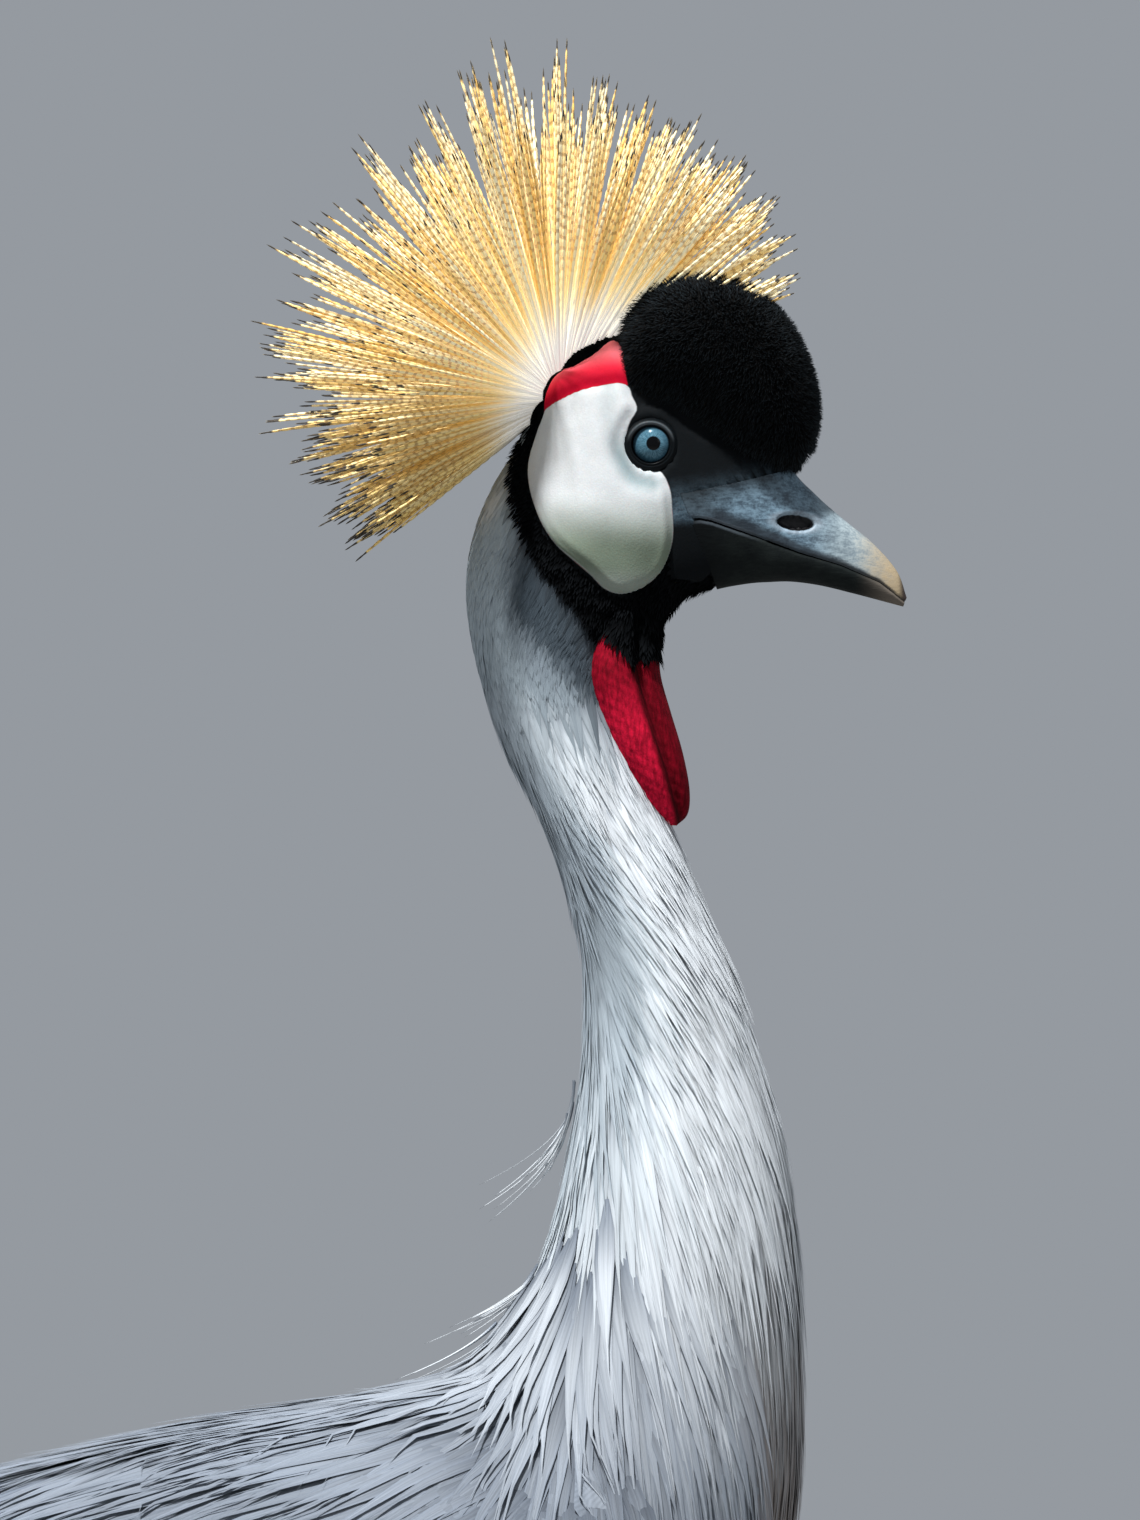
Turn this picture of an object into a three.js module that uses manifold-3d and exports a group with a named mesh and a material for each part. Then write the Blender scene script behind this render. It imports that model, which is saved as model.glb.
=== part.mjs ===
// Grey crowned crane, life size, standing still with its bill toward +X and its right side toward -Y.
// Millimetres, +Z up. The origin is the middle of the bird's box at the level of its soles.
import * as THREE from "three";
import { mergeVertices } from "three/addons/utils/BufferGeometryUtils.js";
import Module from "manifold-3d";

const wasm = await Module();
wasm.setup();

// Driving dimensions
const GAP = 0.3; // clear space between neighbouring pieces
const SKULL_TOP = 986; // highest point of the skull under the cap, above the soles
const EYE = { x: 29.5, y: 9.8, z: 943, radius: 9 };
const CHEEK_RISE = 2.2; // bare cheek skin stands proud of the head feathers
const RED_RISE = 1.6; // bare red patch above the cheek
const SKIN_BED = 1.2; // how deep both are set into the head
const TARSUS_LENGTH = 200;
const ANKLE_HEIGHT = 214;
const STANCE_HALF = 46; // feet and ankles from the middle plane
const FOOT_RIGHT_X = -98;
const FOOT_LEFT_X = -126;
const MIDDLE_TOE = 88;
const INNER_TOE = 64;
const OUTER_TOE = 68;
const HIND_TOE = 46;
const TOE_SPREAD = 36; // degrees between front toes
const CLAW_LENGTH = 15;
const TOE_GIRTH = 4.6; // half width of a front toe at its root
const TOE_ROOT = 16; // length of each toe's root, which belongs to the tarsus

// One cross section of the body: its upper (back) and lower (front) point in the middle plane, the half
// width, where between the two points it is widest, and its roundness (1 is an ellipse, less is boxier).
const at = (backX, backZ, frontX, frontZ, half, widest = 0.5, round = 1) => ({
  back: new THREE.Vector3(backX, 0, backZ),
  front: new THREE.Vector3(frontX, 0, frontZ),
  shape: new THREE.Vector3(half, widest, round),
});

// Cross sections from the end of the rump along the trunk, up the neck, over the head and out to the bill tip
const RUMP_END = 0;
const NECK_ROOT = 6;
const NECK_MIDDLE = 9;
const NECK_TOP = 12;
const HEAD_START = 15;
const BILL_TIP = 30;
const SECTIONS = [
  at(-302, 540, -298, 520, 14), // end of the rump
  at(-262, 561, -248, 476, 44),
  at(-203, 580, -190, 434, 66, 0.5, 0.95),
  at(-132, 596.5, -118, 409, 79, 0.5, 0.92),
  at(-64, 608.5, -42, 406, 84, 0.52, 0.92), // deepest part of the trunk
  at(-34, 618, 20, 434, 80, 0.53, 0.94),
  at(-17, 642, 62, 492, 68, 0.54), // root of the neck
  at(-7, 668, 80, 553, 56, 0.55), // front of the breast
  at(-1.5, 696, 83.5, 617, 46.5),
  at(2.5, 727, 79, 683, 38.5),
  at(2.5, 755, 67, 734, 32),
  at(-2.5, 783, 51.5, 775, 27.5),
  at(-13, 811, 36.5, 808, 24.5),
  at(-26, 838, 25, 836, 22.5),
  at(-34.5, 864, 19.5, 855, 21),
  at(-38, 889, 20.5, 864, 20), // neck meets head
  at(-35.8, 909, 27, 869, 19.5),
  at(-28.5, 928, 33, 877, 19.5),
  at(-18.5, 945, 38, 884, 19.3, 0.55),
  at(-13.5, 960, 41.5, 887.5, 19, 0.58, 0.9), // back of the crown
  at(-6, 972.5, 46, 889.5, 18.6, 0.6, 0.85),
  at(9, 981.5, 50.5, 891, 18, 0.6, 0.85),
  at(29, SKULL_TOP, 55.5, 892.2, 16.8, 0.6, 0.88), // top of the skull
  at(48, 980, 60, 893, 15, 0.62, 0.92),
  at(64, 961, 65, 893.7, 13, 0.66),
  at(78, 937.5, 70, 894, 11.2, 0.72), // root of the culmen
  at(87, 928.3, 78.5, 894.2, 9.8, 0.7),
  at(97, 918.6, 89, 892.8, 8.2, 0.68),
  at(107.5, 908, 101, 889.9, 6.2, 0.66),
  at(116, 897.5, 112, 887, 3.8, 0.64),
  at(119.6, 888.4, 118.4, 885.3, 1.2), // tip of the bill
];

// Line of the gape, from the corner of the mouth to the bill tip, as X, Z
const GAPE = [[42, 916.2], [53, 915.8], [67.5, 909.8], [81.7, 904.4], [96, 900], [110, 893.9], [122, 884.6]];
// Edge of the horn against the lores, from the cheek to the root of the culmen
const HORN_EDGE = [[41, 925.5], [60, 929.5], [80.2, 935.5]];
const BILL_PLAY = 30; // outlines of the bill run this far past the tip

// Side outline of the bare white cheek
const CHEEK = [
  [-9.6, 954], [-14.9, 934], [-14.2, 919.5], [-8.5, 906.5], [1.8, 896.6], [10.7, 890.3], [18, 888.6], [26.6, 891.2],
  [33.9, 898.4], [36.4, 909], [35.8, 921.5], [33, 930], [27, 934.5], [21.5, 938], [19.4, 944.5], [20.6, 951.6],
  [23.2, 956.5], [18.3, 962.3], [8, 961.6], [-1.5, 958.6],
];
// Side outline of the red patch above it
const RED_PATCH = [
  [-8.3, 955.8], [-8.8, 960.8], [-5.8, 966], [1.8, 972.4], [10.7, 977.4], [16, 979.6], [17.9, 977], [18, 970],
  [17.4, 963.6], [8, 963.2], [-1.5, 960.4],
];

// Cross sections of the black velvet cap, from behind forward over the brow
const CAP_SECTIONS = [
  at(18.5, 981, 22, 968, 9),
  at(21.5, 990, 23.5, 959.5, 19),
  at(31, 999, 31, 954.5, 24),
  at(46, 1002.5, 42, 949.5, 26),
  at(63, 998.5, 53, 942, 26),
  at(77, 987, 63.5, 935.2, 24.5),
  at(85.5, 972, 71.5, 932.6, 21.5),
  at(88.2, 957, 77, 932.8, 16.5),
  at(86.2, 943.5, 80.5, 934.5, 8.5),
];

// Golden crest: bristles fan out from the hind crown
const CREST = {
  x: -3.5,
  z: 958.7,
  first: 24, // degrees from straight forward to the foremost bristles
  last: 218,
  sideways: 56, // degrees that the outermost bristles lean to each side
  bed: 13, // half width of the strip they grow from
  rows: 18,
  columns: 12,
  valley: 0.8, // depth of the notches between the tufts, as a share of their reach
};
// How far the crest reaches, and where its roots lie, from the crest's middle at each angle in degrees
const CREST_REACH = [[24, 95], [41, 111], [62, 115], [90, 126], [104, 121], [130, 113], [166, 110], [202, 99], [218, 86]];
const CREST_ROOTS = [[24, 42], [45, 37], [60, 29], [90, 16.5], [135, 13.5], [180, 12.5], [218, 20]];

// Cross sections of the throat wattle, from the throat down: rear and front edge, half width
const WATTLE_SECTIONS = [
  at(8, 873, 31, 869, 13, 0.4),
  at(5, 862, 32.5, 860, 19, 0.35),
  at(8, 850, 36, 847.5, 18.5, 0.38),
  at(14, 836, 40, 834, 15.5, 0.42),
  at(20.5, 822.5, 42.6, 821, 11.5, 0.48),
  at(26.5, 812.5, 42, 812, 7.8, 0.5),
  at(31, 808, 38, 807.6, 3.6, 0.5),
];

// The folded wing's outer surface on the left side: X, then height and distance from the middle plane of its
// upper and of its lower edge, and how far it bulges between them
const wingAt = (x, topZ, topY, lowZ, lowY, bulge) => ({
  top: new THREE.Vector3(x, topY, topZ),
  low: new THREE.Vector3(x, lowY, lowZ),
  bulge: new THREE.Vector3(bulge, 0, 0),
});
const WING_SECTIONS = [
  wingAt(36, 549, 74, 528, 75, 1), // bend of the wing
  wingAt(10, 568, 73, 486, 80, 6),
  wingAt(-50, 580, 70, 455, 80, 13),
  wingAt(-120, 578, 61, 443, 77, 16),
  wingAt(-190, 570, 47, 432, 68, 18),
  wingAt(-260, 553, 31, 413, 56, 16),
  wingAt(-330, 522, 19, 394, 43, 12),
  wingAt(-390, 476, 11, 376, 31, 8),
  wingAt(-436, 424, 8, 362, 20, 3), // wing tip
];

// Layers of the folded wing, innermost first. lift is the height of the layer's middle above the wing's surface,
// tips the number of feather tips along its hind edge, start and end how far along the wing (0 to 1) it begins
// and ends at its upper and lower edge, across where those edges lie (0 is the wing's upper edge), notch how
// deep the hind edge is cut between two tips.
const PRIMARIES = { lift: 1.3, thick: 1.6, tips: 3, start: [0.4, 0.36], end: [0.93, 1], across: [0.7, 0.98],
  tipAcross: [0.5, 0.9], notch: 0.07 };
const SECONDARIES = { lift: 4.8, thick: 2, tips: 6, start: [0.34, 0.3], end: [0.97, 0.8], across: [0.01, 0.93],
  tipAcross: [0.02, 1], notch: 0.06 };
const PLUMES = { lift: 8.4, thick: 1.8, tips: 6, start: [0.36, 0.32], end: [0.8, 0.66], across: [0.03, 0.97],
  tipAcross: [0.1, 1.07], notch: 0.09 };
const COVERTS = { lift: 12.4, thick: 4.6, tips: 5, start: [0.012, 0.012], end: [0.45, 0.43], across: [0.02, 0.98],
  tipAcross: [0.02, 0.99], notch: 0.02 };
const PLEAT = 0.5; // feather midlines stand this much above the notches between them
const LAYER_STEPS = 5;

// Tail feathers, folded narrow under the wings: root and tip in the middle plane
const TAIL = { rootX: -258, rootZ: 528, tipX: -418, tipZ: 418, sag: 14, rootHalf: 30, tipHalf: 19, thick: 2.4, tips: 4,
  notch: 0.06 };

// Materials: colour, roughness
const material = (color, roughness, metalness = 0) =>
  new THREE.MeshStandardMaterial({ color, roughness, metalness });
const LOOKS = {
  grey: material(0x9fa6ad, 0.85),
  paleGrey: material(0xb9bec4, 0.85),
  slate: material(0x6f7780, 0.85),
  black: material(0x0c0c0e, 0.95),
  white: material(0xeceae4, 0.6),
  straw: material(0xc9a765, 0.8),
  chestnut: material(0x5b2a1c, 0.75),
  gold: material(0xd9b56c, 0.7),
  red: material(0xb3122a, 0.55),
  pink: material(0xd9223c, 0.5),
  horn: material(0x59616b, 0.5),
  darkHorn: material(0x24272b, 0.5),
  iris: material(0x7fa3b8, 0.1),
  leg: material(0x1d1d20, 0.6),
};

// Closed solid from a list of triangles, turned so that its faces point out
function closedSolid(points, faces) {
  const vertProperties = new Float32Array(points.flatMap((p) => [p.x, p.y, p.z]));
  const make = (triVerts) => new wasm.Manifold(new wasm.Mesh({ numProp: 3, vertProperties, triVerts }));
  const made = make(new Uint32Array(faces));
  if (made.volume() > 0) return made;
  return make(new Uint32Array(faces).reverse());
}

// Solid skinned over a row of rings that all have the same number of points
function loft(rings) {
  const sides = rings[0].length;
  const middle = (ring) => ring.reduce((sum, p) => sum.add(p), new THREE.Vector3()).divideScalar(sides);
  const points = [...rings.flat(), middle(rings[0]), middle(rings.at(-1))];
  const first = rings.length * sides;
  const faces = [];
  for (let side = 0; side < sides; side++) {
    const next = (side + 1) % sides;
    for (let ring = 0; ring < rings.length - 1; ring++) {
      const a = ring * sides + side;
      const b = ring * sides + next;
      faces.push(a, b, b + sides, a, b + sides, a + sides);
    }
    faces.push(first, next, side);
    faces.push(first + 1, first - sides + side, first - sides + next);
  }
  return closedSolid(points, faces);
}

// Solid between an outer and an inner grid of points, both rows of the same number of points
function slab(outer, inner) {
  const rows = outer.length;
  const columns = outer[0].length;
  const points = [...outer.flat(), ...inner.flat()];
  const faces = [];
  const quad = (a, b, c, d) => faces.push(a, b, c, a, c, d);
  const out = (i, j) => i * columns + j;
  const under = (i, j) => (rows + i) * columns + j;
  for (let i = 0; i < rows - 1; i++) {
    for (let j = 0; j < columns - 1; j++) {
      quad(out(i, j), out(i + 1, j), out(i + 1, j + 1), out(i, j + 1));
      quad(under(i, j), under(i, j + 1), under(i + 1, j + 1), under(i + 1, j));
    }
    quad(out(i, 0), under(i, 0), under(i + 1, 0), out(i + 1, 0));
    quad(out(i, columns - 1), out(i + 1, columns - 1), under(i + 1, columns - 1), under(i, columns - 1));
  }
  for (let j = 0; j < columns - 1; j++) {
    quad(out(0, j), out(0, j + 1), under(0, j + 1), under(0, j));
    quad(out(rows - 1, j), under(rows - 1, j), under(rows - 1, j + 1), out(rows - 1, j + 1));
  }
  return closedSolid(points, faces);
}

function solidOf(geometry) {
  const bare = geometry.clone();
  bare.deleteAttribute("normal");
  bare.deleteAttribute("uv");
  const merged = mergeVertices(bare);
  const position = merged.attributes.position;
  const points = Array.from({ length: position.count }, (_, i) => new THREE.Vector3().fromBufferAttribute(position, i));
  return closedSolid(points, merged.index.array);
}

function geometryOf(solid) {
  const mesh = solid.getMesh();
  return new THREE.BufferGeometry()
    .setAttribute("position", new THREE.BufferAttribute(mesh.vertProperties, 3))
    .setIndex(new THREE.BufferAttribute(mesh.triVerts, 1));
}

// The same solid on the bird's other side
function mirrored(solid) {
  const mesh = solid.getMesh();
  const points = [];
  for (let i = 0; i < mesh.vertProperties.length; i += 3) {
    const [x, y, z] = mesh.vertProperties.slice(i, i + 3);
    points.push(new THREE.Vector3(x, -y, z));
  }
  return closedSolid(points, mesh.triVerts);
}

const bird = new THREE.Group();
function add(name, solid, look) {
  const mesh = new THREE.Mesh(geometryOf(solid), look);
  mesh.name = name;
  bird.add(mesh);
}
function addPair(name, left, look) {
  add(`${name}_left`, left, look);
  add(`${name}_right`, mirrored(left), look);
}

// A row of cross sections with smooth curves through them
class Sections {
  constructor(rows) {
    this.last = rows.length - 1;
    const through = (key) => new THREE.CatmullRomCurve3(rows.map((row) => row[key]), false, "catmullrom", 0.5);
    this.back = through("back");
    this.front = through("front");
    this.shape = through("shape");
  }

  // Ring at a place counted in rows, grown outward by a distance
  ring(place, sides, grow) {
    const u = THREE.MathUtils.clamp(place / this.last, 0, 1);
    const back = this.back.getPoint(u);
    const across = this.front.getPoint(u).sub(back);
    const [half, widest, round] = this.shape.getPoint(u).toArray();
    const depth = across.length();
    across.normalize();
    const middle = back.clone().addScaledVector(across, depth * widest);
    return Array.from({ length: sides }, (_, i) => {
      const angle = (i / sides) * 2 * Math.PI;
      const up = Math.sign(Math.cos(angle)) * Math.abs(Math.cos(angle)) ** round;
      const out = Math.sign(Math.sin(angle)) * Math.abs(Math.sin(angle)) ** round;
      const reach = depth * (up > 0 ? widest : 1 - widest) + grow;
      const p = middle.clone().addScaledVector(across, -up * reach);
      p.y = out * (half + grow);
      return p;
    });
  }

  // Solid between two places, with a number of steps
  piece(from, to, steps, sides, grow = 0) {
    const rings = Array.from({ length: steps + 1 }, (_, i) => this.ring(from + ((to - from) * i) / steps, sides, grow));
    return loft(rings);
  }

  // The place just after another one, a gap further along on the side where the sections lie closest
  after(place) {
    const step = 0.01;
    const move = (curve) => curve.getPoint(place / this.last).distanceTo(curve.getPoint((place + step) / this.last));
    return place + (step * GAP) / Math.min(move(this.back), move(this.front));
  }
}

// Prism across the bird with a side outline given as X, Z, grown outward by a distance
function sidePrism(outline, grow, fromY, toY) {
  const turning = THREE.ShapeUtils.area(outline.map(([x, z]) => new THREE.Vector2(x, z))) > 0 ? 1 : -1;
  const points = outline.map(([x, z], i) => {
    const [beforeX, beforeZ] = outline.at(i - 1);
    const [afterX, afterZ] = outline[(i + 1) % outline.length];
    const along = new THREE.Vector2(afterX - beforeX, afterZ - beforeZ).normalize();
    return new THREE.Vector2(x + along.y * grow * turning, z - along.x * grow * turning);
  });
  const prism = new THREE.ExtrudeGeometry(new THREE.Shape(points), { depth: toY - fromY, bevelEnabled: false });
  prism.rotateX(Math.PI / 2);
  prism.translate(0, toY, 0);
  return solidOf(prism);
}

// Smooth closed outline through a few points
function smoothOutline(points, count) {
  const curve = new THREE.CatmullRomCurve3(points.map(([x, z]) => new THREE.Vector3(x, 0, z)), true, "catmullrom", 0.5);
  return curve.getPoints(count).slice(0, count).map((p) => [p.x, p.z]);
}

// Value read off a short table of pairs
function readOff(table, x) {
  const next = table.findIndex(([key]) => key >= x);
  if (next < 0) return table.at(-1)[1];
  if (next === 0) return table[0][1];
  const [x0, y0] = table[next - 1];
  const [x1, y1] = table[next];
  return THREE.MathUtils.mapLinear(x, x0, x1, y0, y1);
}

const body = new Sections(SECTIONS);
const cap = new Sections(CAP_SECTIONS);

// Head with the bill, before it is divided
const HEAD_SIDES = 18;
const HEAD_STEPS = 15;
const headWhole = (grow) =>
  body.piece(body.after(HEAD_START), BILL_TIP, HEAD_STEPS, HEAD_SIDES, grow);
const capWhole = (grow) => cap.piece(0, CAP_SECTIONS.length - 1, 8, 16, grow);
const eyeBall = (grow) => {
  const ball = new THREE.SphereGeometry(EYE.radius + grow, 12, 7);
  ball.rotateX(Math.PI / 2);
  ball.translate(EYE.x, EYE.y, EYE.z);
  return solidOf(ball);
};

// Trunk and neck
const NECK_SIDES = 16;
const TRUNK_SIDES = 22;
const trunkWhole = (grow) => body.piece(RUMP_END, NECK_ROOT, 11, TRUNK_SIDES, grow);
function trunkAndNeck() {
  add("trunk", trunkWhole(0), LOOKS.grey);
  add("neck_lower", body.piece(body.after(NECK_ROOT), NECK_MIDDLE, 4, NECK_SIDES), LOOKS.paleGrey);
  const middle = body.piece(body.after(NECK_MIDDLE), NECK_TOP, 4, NECK_SIDES);
  const upper = body.piece(body.after(NECK_TOP), HEAD_START, 4, NECK_SIDES);
  add("neck_middle", middle.subtract(wattleWhole(GAP)), LOOKS.paleGrey);
  add("neck_upper", upper.subtract(wattleWhole(GAP)), LOOKS.grey);
}

// Wattle: hangs from the throat over the front of the neck
function wattleWhole(grow) {
  return new Sections(WATTLE_SECTIONS).piece(0, WATTLE_SECTIONS.length - 1, 7, 12, grow);
}

// Head, with everything that is set into it
function headAndBill() {
  const far = 60;
  const cheekLine = smoothOutline(CHEEK, 22);
  const redLine = smoothOutline(RED_PATCH, 14);
  const upperBill = [...HORN_EDGE, [120 + BILL_PLAY, 950], ...GAPE.toReversed()];
  const lowerBill = [...GAPE, [120 + BILL_PLAY, 860], [42, 860]];
  const bill = [...HORN_EDGE, [120 + BILL_PLAY, 950], [120 + BILL_PLAY, 860], [42, 860]];
  const bed = headWhole(-SKIN_BED);
  const deepBed = headWhole(-SKIN_BED - GAP);
  const raised = (line, rise) => headWhole(rise).intersect(sidePrism(line, 0, 4, far)).subtract(bed);
  const socket = (line) => sidePrism(line, GAP, 4 - GAP, far).subtract(deepBed);
  const eye = eyeBall(0);
  const eyeSocket = eyeBall(GAP);

  const cheek = raised(cheekLine, CHEEK_RISE).subtract(eyeSocket);
  const red = raised(redLine, RED_RISE);
  const cuts = [socket(cheekLine), socket(redLine), eyeSocket];
  let head = headWhole(0).subtract(sidePrism(bill, 0, -far, far));
  for (const cut of cuts) head = head.subtract(cut).subtract(mirrored(cut));
  head = head.subtract(wattleWhole(GAP));
  add("head", head, LOOKS.black);
  addPair("cheek", cheek, LOOKS.white);
  addPair("red_patch", red.subtract(sidePrism(cheekLine, GAP, 0, far)), LOOKS.pink);
  addPair("eye", eye, LOOKS.iris);

  const horn = headWhole(0);
  const shut = (outline) => horn.intersect(sidePrism(outline, -GAP, -far, far));
  add("bill_upper", shut(upperBill).subtract(sidePrism(cheekLine, GAP, -far, far)), LOOKS.horn);
  add("bill_lower", shut(lowerBill).subtract(sidePrism(cheekLine, GAP, -far, far)), LOOKS.darkHorn);
  add("wattle", wattleWhole(0).subtract(sidePrism(cheekLine, GAP, -far, far)), LOOKS.red);
}

// Velvet cap over the brow
function velvetCap() {
  const redLine = smoothOutline(RED_PATCH, 14);
  const cheekLine = smoothOutline(CHEEK, 22);
  const made = capWhole(0)
    .subtract(headWhole(GAP))
    .subtract(headWhole(CHEEK_RISE + GAP).intersect(sidePrism(cheekLine, GAP, -60, 60)))
    .subtract(headWhole(RED_RISE + GAP).intersect(sidePrism(redLine, GAP, -60, 60)))
    .subtract(eyeBall(GAP))
    .subtract(mirrored(eyeBall(GAP)));
  add("cap", made, LOOKS.black);
}

// Crest: a half globe of pointed tufts. Each ring is one fan from side to side, and the rings sweep back.
function crest() {
  const rings = [];
  for (let row = 0; row <= CREST.rows; row++) {
    const degrees = THREE.MathUtils.lerp(CREST.first, CREST.last, row / CREST.rows);
    const angle = THREE.MathUtils.degToRad(degrees);
    const roots = readOff(CREST_ROOTS, degrees);
    const reach = readOff(CREST_REACH, degrees) - roots;
    const ring = [];
    for (let column = 0; column <= CREST.columns; column++) {
      const side = (column / CREST.columns) * 2 - 1;
      const lean = THREE.MathUtils.degToRad(side * CREST.sideways);
      const tip = row % 2 === 1 && column % 2 === 1;
      const length = reach * (1 - 0.12 * side * side) * (tip ? 1 : CREST.valley);
      const out = roots + length * Math.cos(lean);
      const y = CREST.bed * side + length * Math.sin(lean);
      ring.push(new THREE.Vector3(CREST.x + Math.cos(angle) * out, y, CREST.z + Math.sin(angle) * out));
    }
    for (const side of [1, 0, -1]) {
      const inner = roots - 5;
      const x = CREST.x + Math.cos(angle) * inner;
      ring.push(new THREE.Vector3(x, CREST.bed * side, CREST.z + Math.sin(angle) * inner));
    }
    rings.push(ring);
  }
  const made = loft(rings).subtract(headWhole(RED_RISE + GAP)).subtract(capWhole(GAP));
  add("crest", made, LOOKS.gold);
}

// Outer surface of the folded left wing
class WingSurface {
  constructor(rows) {
    const through = (key) => new THREE.CatmullRomCurve3(rows.map((row) => row[key]), false, "catmullrom", 0.5);
    this.top = through("top");
    this.low = through("low");
    this.bulge = through("bulge");
  }

  flat(along, across) {
    const p = this.top.getPoint(along).lerp(this.low.getPoint(along), across);
    p.y += this.bulge.getPoint(along).x * 4 * across * (1 - across);
    return p;
  }

  point(along, across, lift) {
    const step = 0.01;
    const u = THREE.MathUtils.clamp(along, step, 1 - step);
    const lengthwise = this.flat(u + step, across).sub(this.flat(u - step, across));
    const crosswise = this.flat(u, across + step).sub(this.flat(u, across - step));
    const out = crosswise.cross(lengthwise).normalize();
    if (out.y < 0) out.negate();
    return this.flat(THREE.MathUtils.clamp(along, 0, 1), across).addScaledVector(out, lift);
  }
}
const wing = new WingSurface(WING_SECTIONS);

// One layer of wing feathers: a thin pleated sheet on the wing's surface that ends in a row of feather tips
function wingLayer(layer) {
  const mix = ([a, b], f) => THREE.MathUtils.lerp(a, b, f);
  const outer = [];
  const inner = [];
  for (let column = 0; column <= 2 * layer.tips; column++) {
    const f = column / (2 * layer.tips);
    const isTip = column % 2;
    const start = mix(layer.start, f);
    const end = mix(layer.end, f) - (isTip ? 0 : layer.notch);
    const rim = column === 0 || column === 2 * layer.tips ? 0.4 : 1;
    outer.push([]);
    inner.push([]);
    for (let step = 0; step <= LAYER_STEPS; step++) {
      const g = step / LAYER_STEPS;
      const along = THREE.MathUtils.lerp(start, end, g);
      const across = THREE.MathUtils.lerp(mix(layer.across, f), mix(layer.tipAcross, f), g ** 1.3);
      const edge = step === 0 || step === LAYER_STEPS ? 0.4 : 1;
      const half = (layer.thick / 2) * Math.min(rim, edge);
      const middle = layer.lift + (isTip ? PLEAT : -PLEAT) / 2;
      outer.at(-1).push(wing.point(along, across, middle + half));
      inner.at(-1).push(wing.point(along, across, middle - half));
    }
  }
  return slab(outer, inner);
}

function wings() {
  const trunk = trunkWhole(GAP).add(body.piece(NECK_ROOT - 0.1, NECK_MIDDLE, 4, NECK_SIDES, GAP));
  addPair("wing_coverts", wingLayer(COVERTS).subtract(trunk), LOOKS.white);
  addPair("wing_plumes", wingLayer(PLUMES).subtract(trunk), LOOKS.straw);
  addPair("wing_secondaries", wingLayer(SECONDARIES).subtract(trunk), LOOKS.chestnut);
  addPair("wing_primaries", wingLayer(PRIMARIES).subtract(trunk), LOOKS.black);
}

// Tail: a narrow fan of flat feathers, higher in the middle, that droops under the wings
function tail() {
  const over = [];
  const under = [];
  for (let column = 0; column <= 2 * TAIL.tips; column++) {
    const side = column / TAIL.tips - 1;
    const isTip = column % 2;
    over.push([]);
    under.push([]);
    for (let step = 0; step <= LAYER_STEPS; step++) {
      const g = (step / LAYER_STEPS) * (isTip ? 1 : 1 - TAIL.notch);
      const half = THREE.MathUtils.lerp(TAIL.rootHalf, TAIL.tipHalf, g);
      const x = THREE.MathUtils.lerp(TAIL.rootX, TAIL.tipX, g);
      const ridge = TAIL.sag * Math.sin(Math.PI * g) - 12 * side * side + (isTip ? PLEAT : -PLEAT);
      const z = THREE.MathUtils.lerp(TAIL.rootZ, TAIL.tipZ, g) + ridge;
      over.at(-1).push(new THREE.Vector3(x, side * half, z + TAIL.thick / 2));
      under.at(-1).push(new THREE.Vector3(x, side * half, z - TAIL.thick / 2));
    }
  }
  add("tail", slab(over, under).subtract(trunkWhole(GAP)), LOOKS.black);
}

// Round or oval rings stacked along a leg: centre, half length along X, half width along Y
function legPiece(rows, sides) {
  const rings = rows.map(([x, y, z, halfX, halfY]) =>
    Array.from({ length: sides }, (_, i) => {
      const angle = (i / sides) * 2 * Math.PI;
      return new THREE.Vector3(x + Math.cos(angle) * halfX, y + Math.sin(angle) * halfY, z);
    }),
  );
  return loft(rings);
}

// A toe lies along the ground in one direction, flat underneath, swollen at each joint
const TOE_SIDES = 8;
function toePiece(foot, heading, length, girth, from, to, steps) {
  const forward = new THREE.Vector3(Math.cos(heading), Math.sin(heading), 0);
  const sideways = new THREE.Vector3(-Math.sin(heading), Math.cos(heading), 0);
  const rings = [];
  for (let i = 0; i <= steps; i++) {
    const reach = THREE.MathUtils.lerp(from, to, i / steps);
    const f = reach / length;
    const radius = girth * (1 - 0.32 * f) * (1 + 0.07 * Math.cos(f * 6 * Math.PI));
    const middle = foot.clone().addScaledVector(forward, reach);
    middle.z = radius * Math.cos(Math.PI / TOE_SIDES);
    rings.push(
      Array.from({ length: TOE_SIDES }, (_, k) => {
        const angle = ((k + 0.5) / TOE_SIDES) * 2 * Math.PI;
        const p = middle.clone().addScaledVector(sideways, Math.sin(angle) * radius);
        p.z = Math.max(0, p.z - Math.cos(angle) * radius);
        return p;
      }),
    );
  }
  return loft(rings);
}

// A claw curves down from the end of its toe and ends just above the ground
function clawPiece(foot, heading, start, girth) {
  const forward = new THREE.Vector3(Math.cos(heading), Math.sin(heading), 0);
  const sideways = new THREE.Vector3(-Math.sin(heading), Math.cos(heading), 0);
  const rings = [0, 0.5, 1].map((f) => {
    const radius = girth * (1 - 0.85 * f);
    const middle = foot.clone().addScaledVector(forward, start + CLAW_LENGTH * f);
    middle.z = THREE.MathUtils.lerp(girth + 0.6, 1, f * f);
    return Array.from({ length: 6 }, (_, k) => {
      const angle = (k / 6) * 2 * Math.PI;
      const p = middle.clone().addScaledVector(sideways, Math.sin(angle) * radius * 0.8);
      p.z += Math.cos(angle) * radius;
      return p;
    });
  });
  return loft(rings);
}

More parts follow.
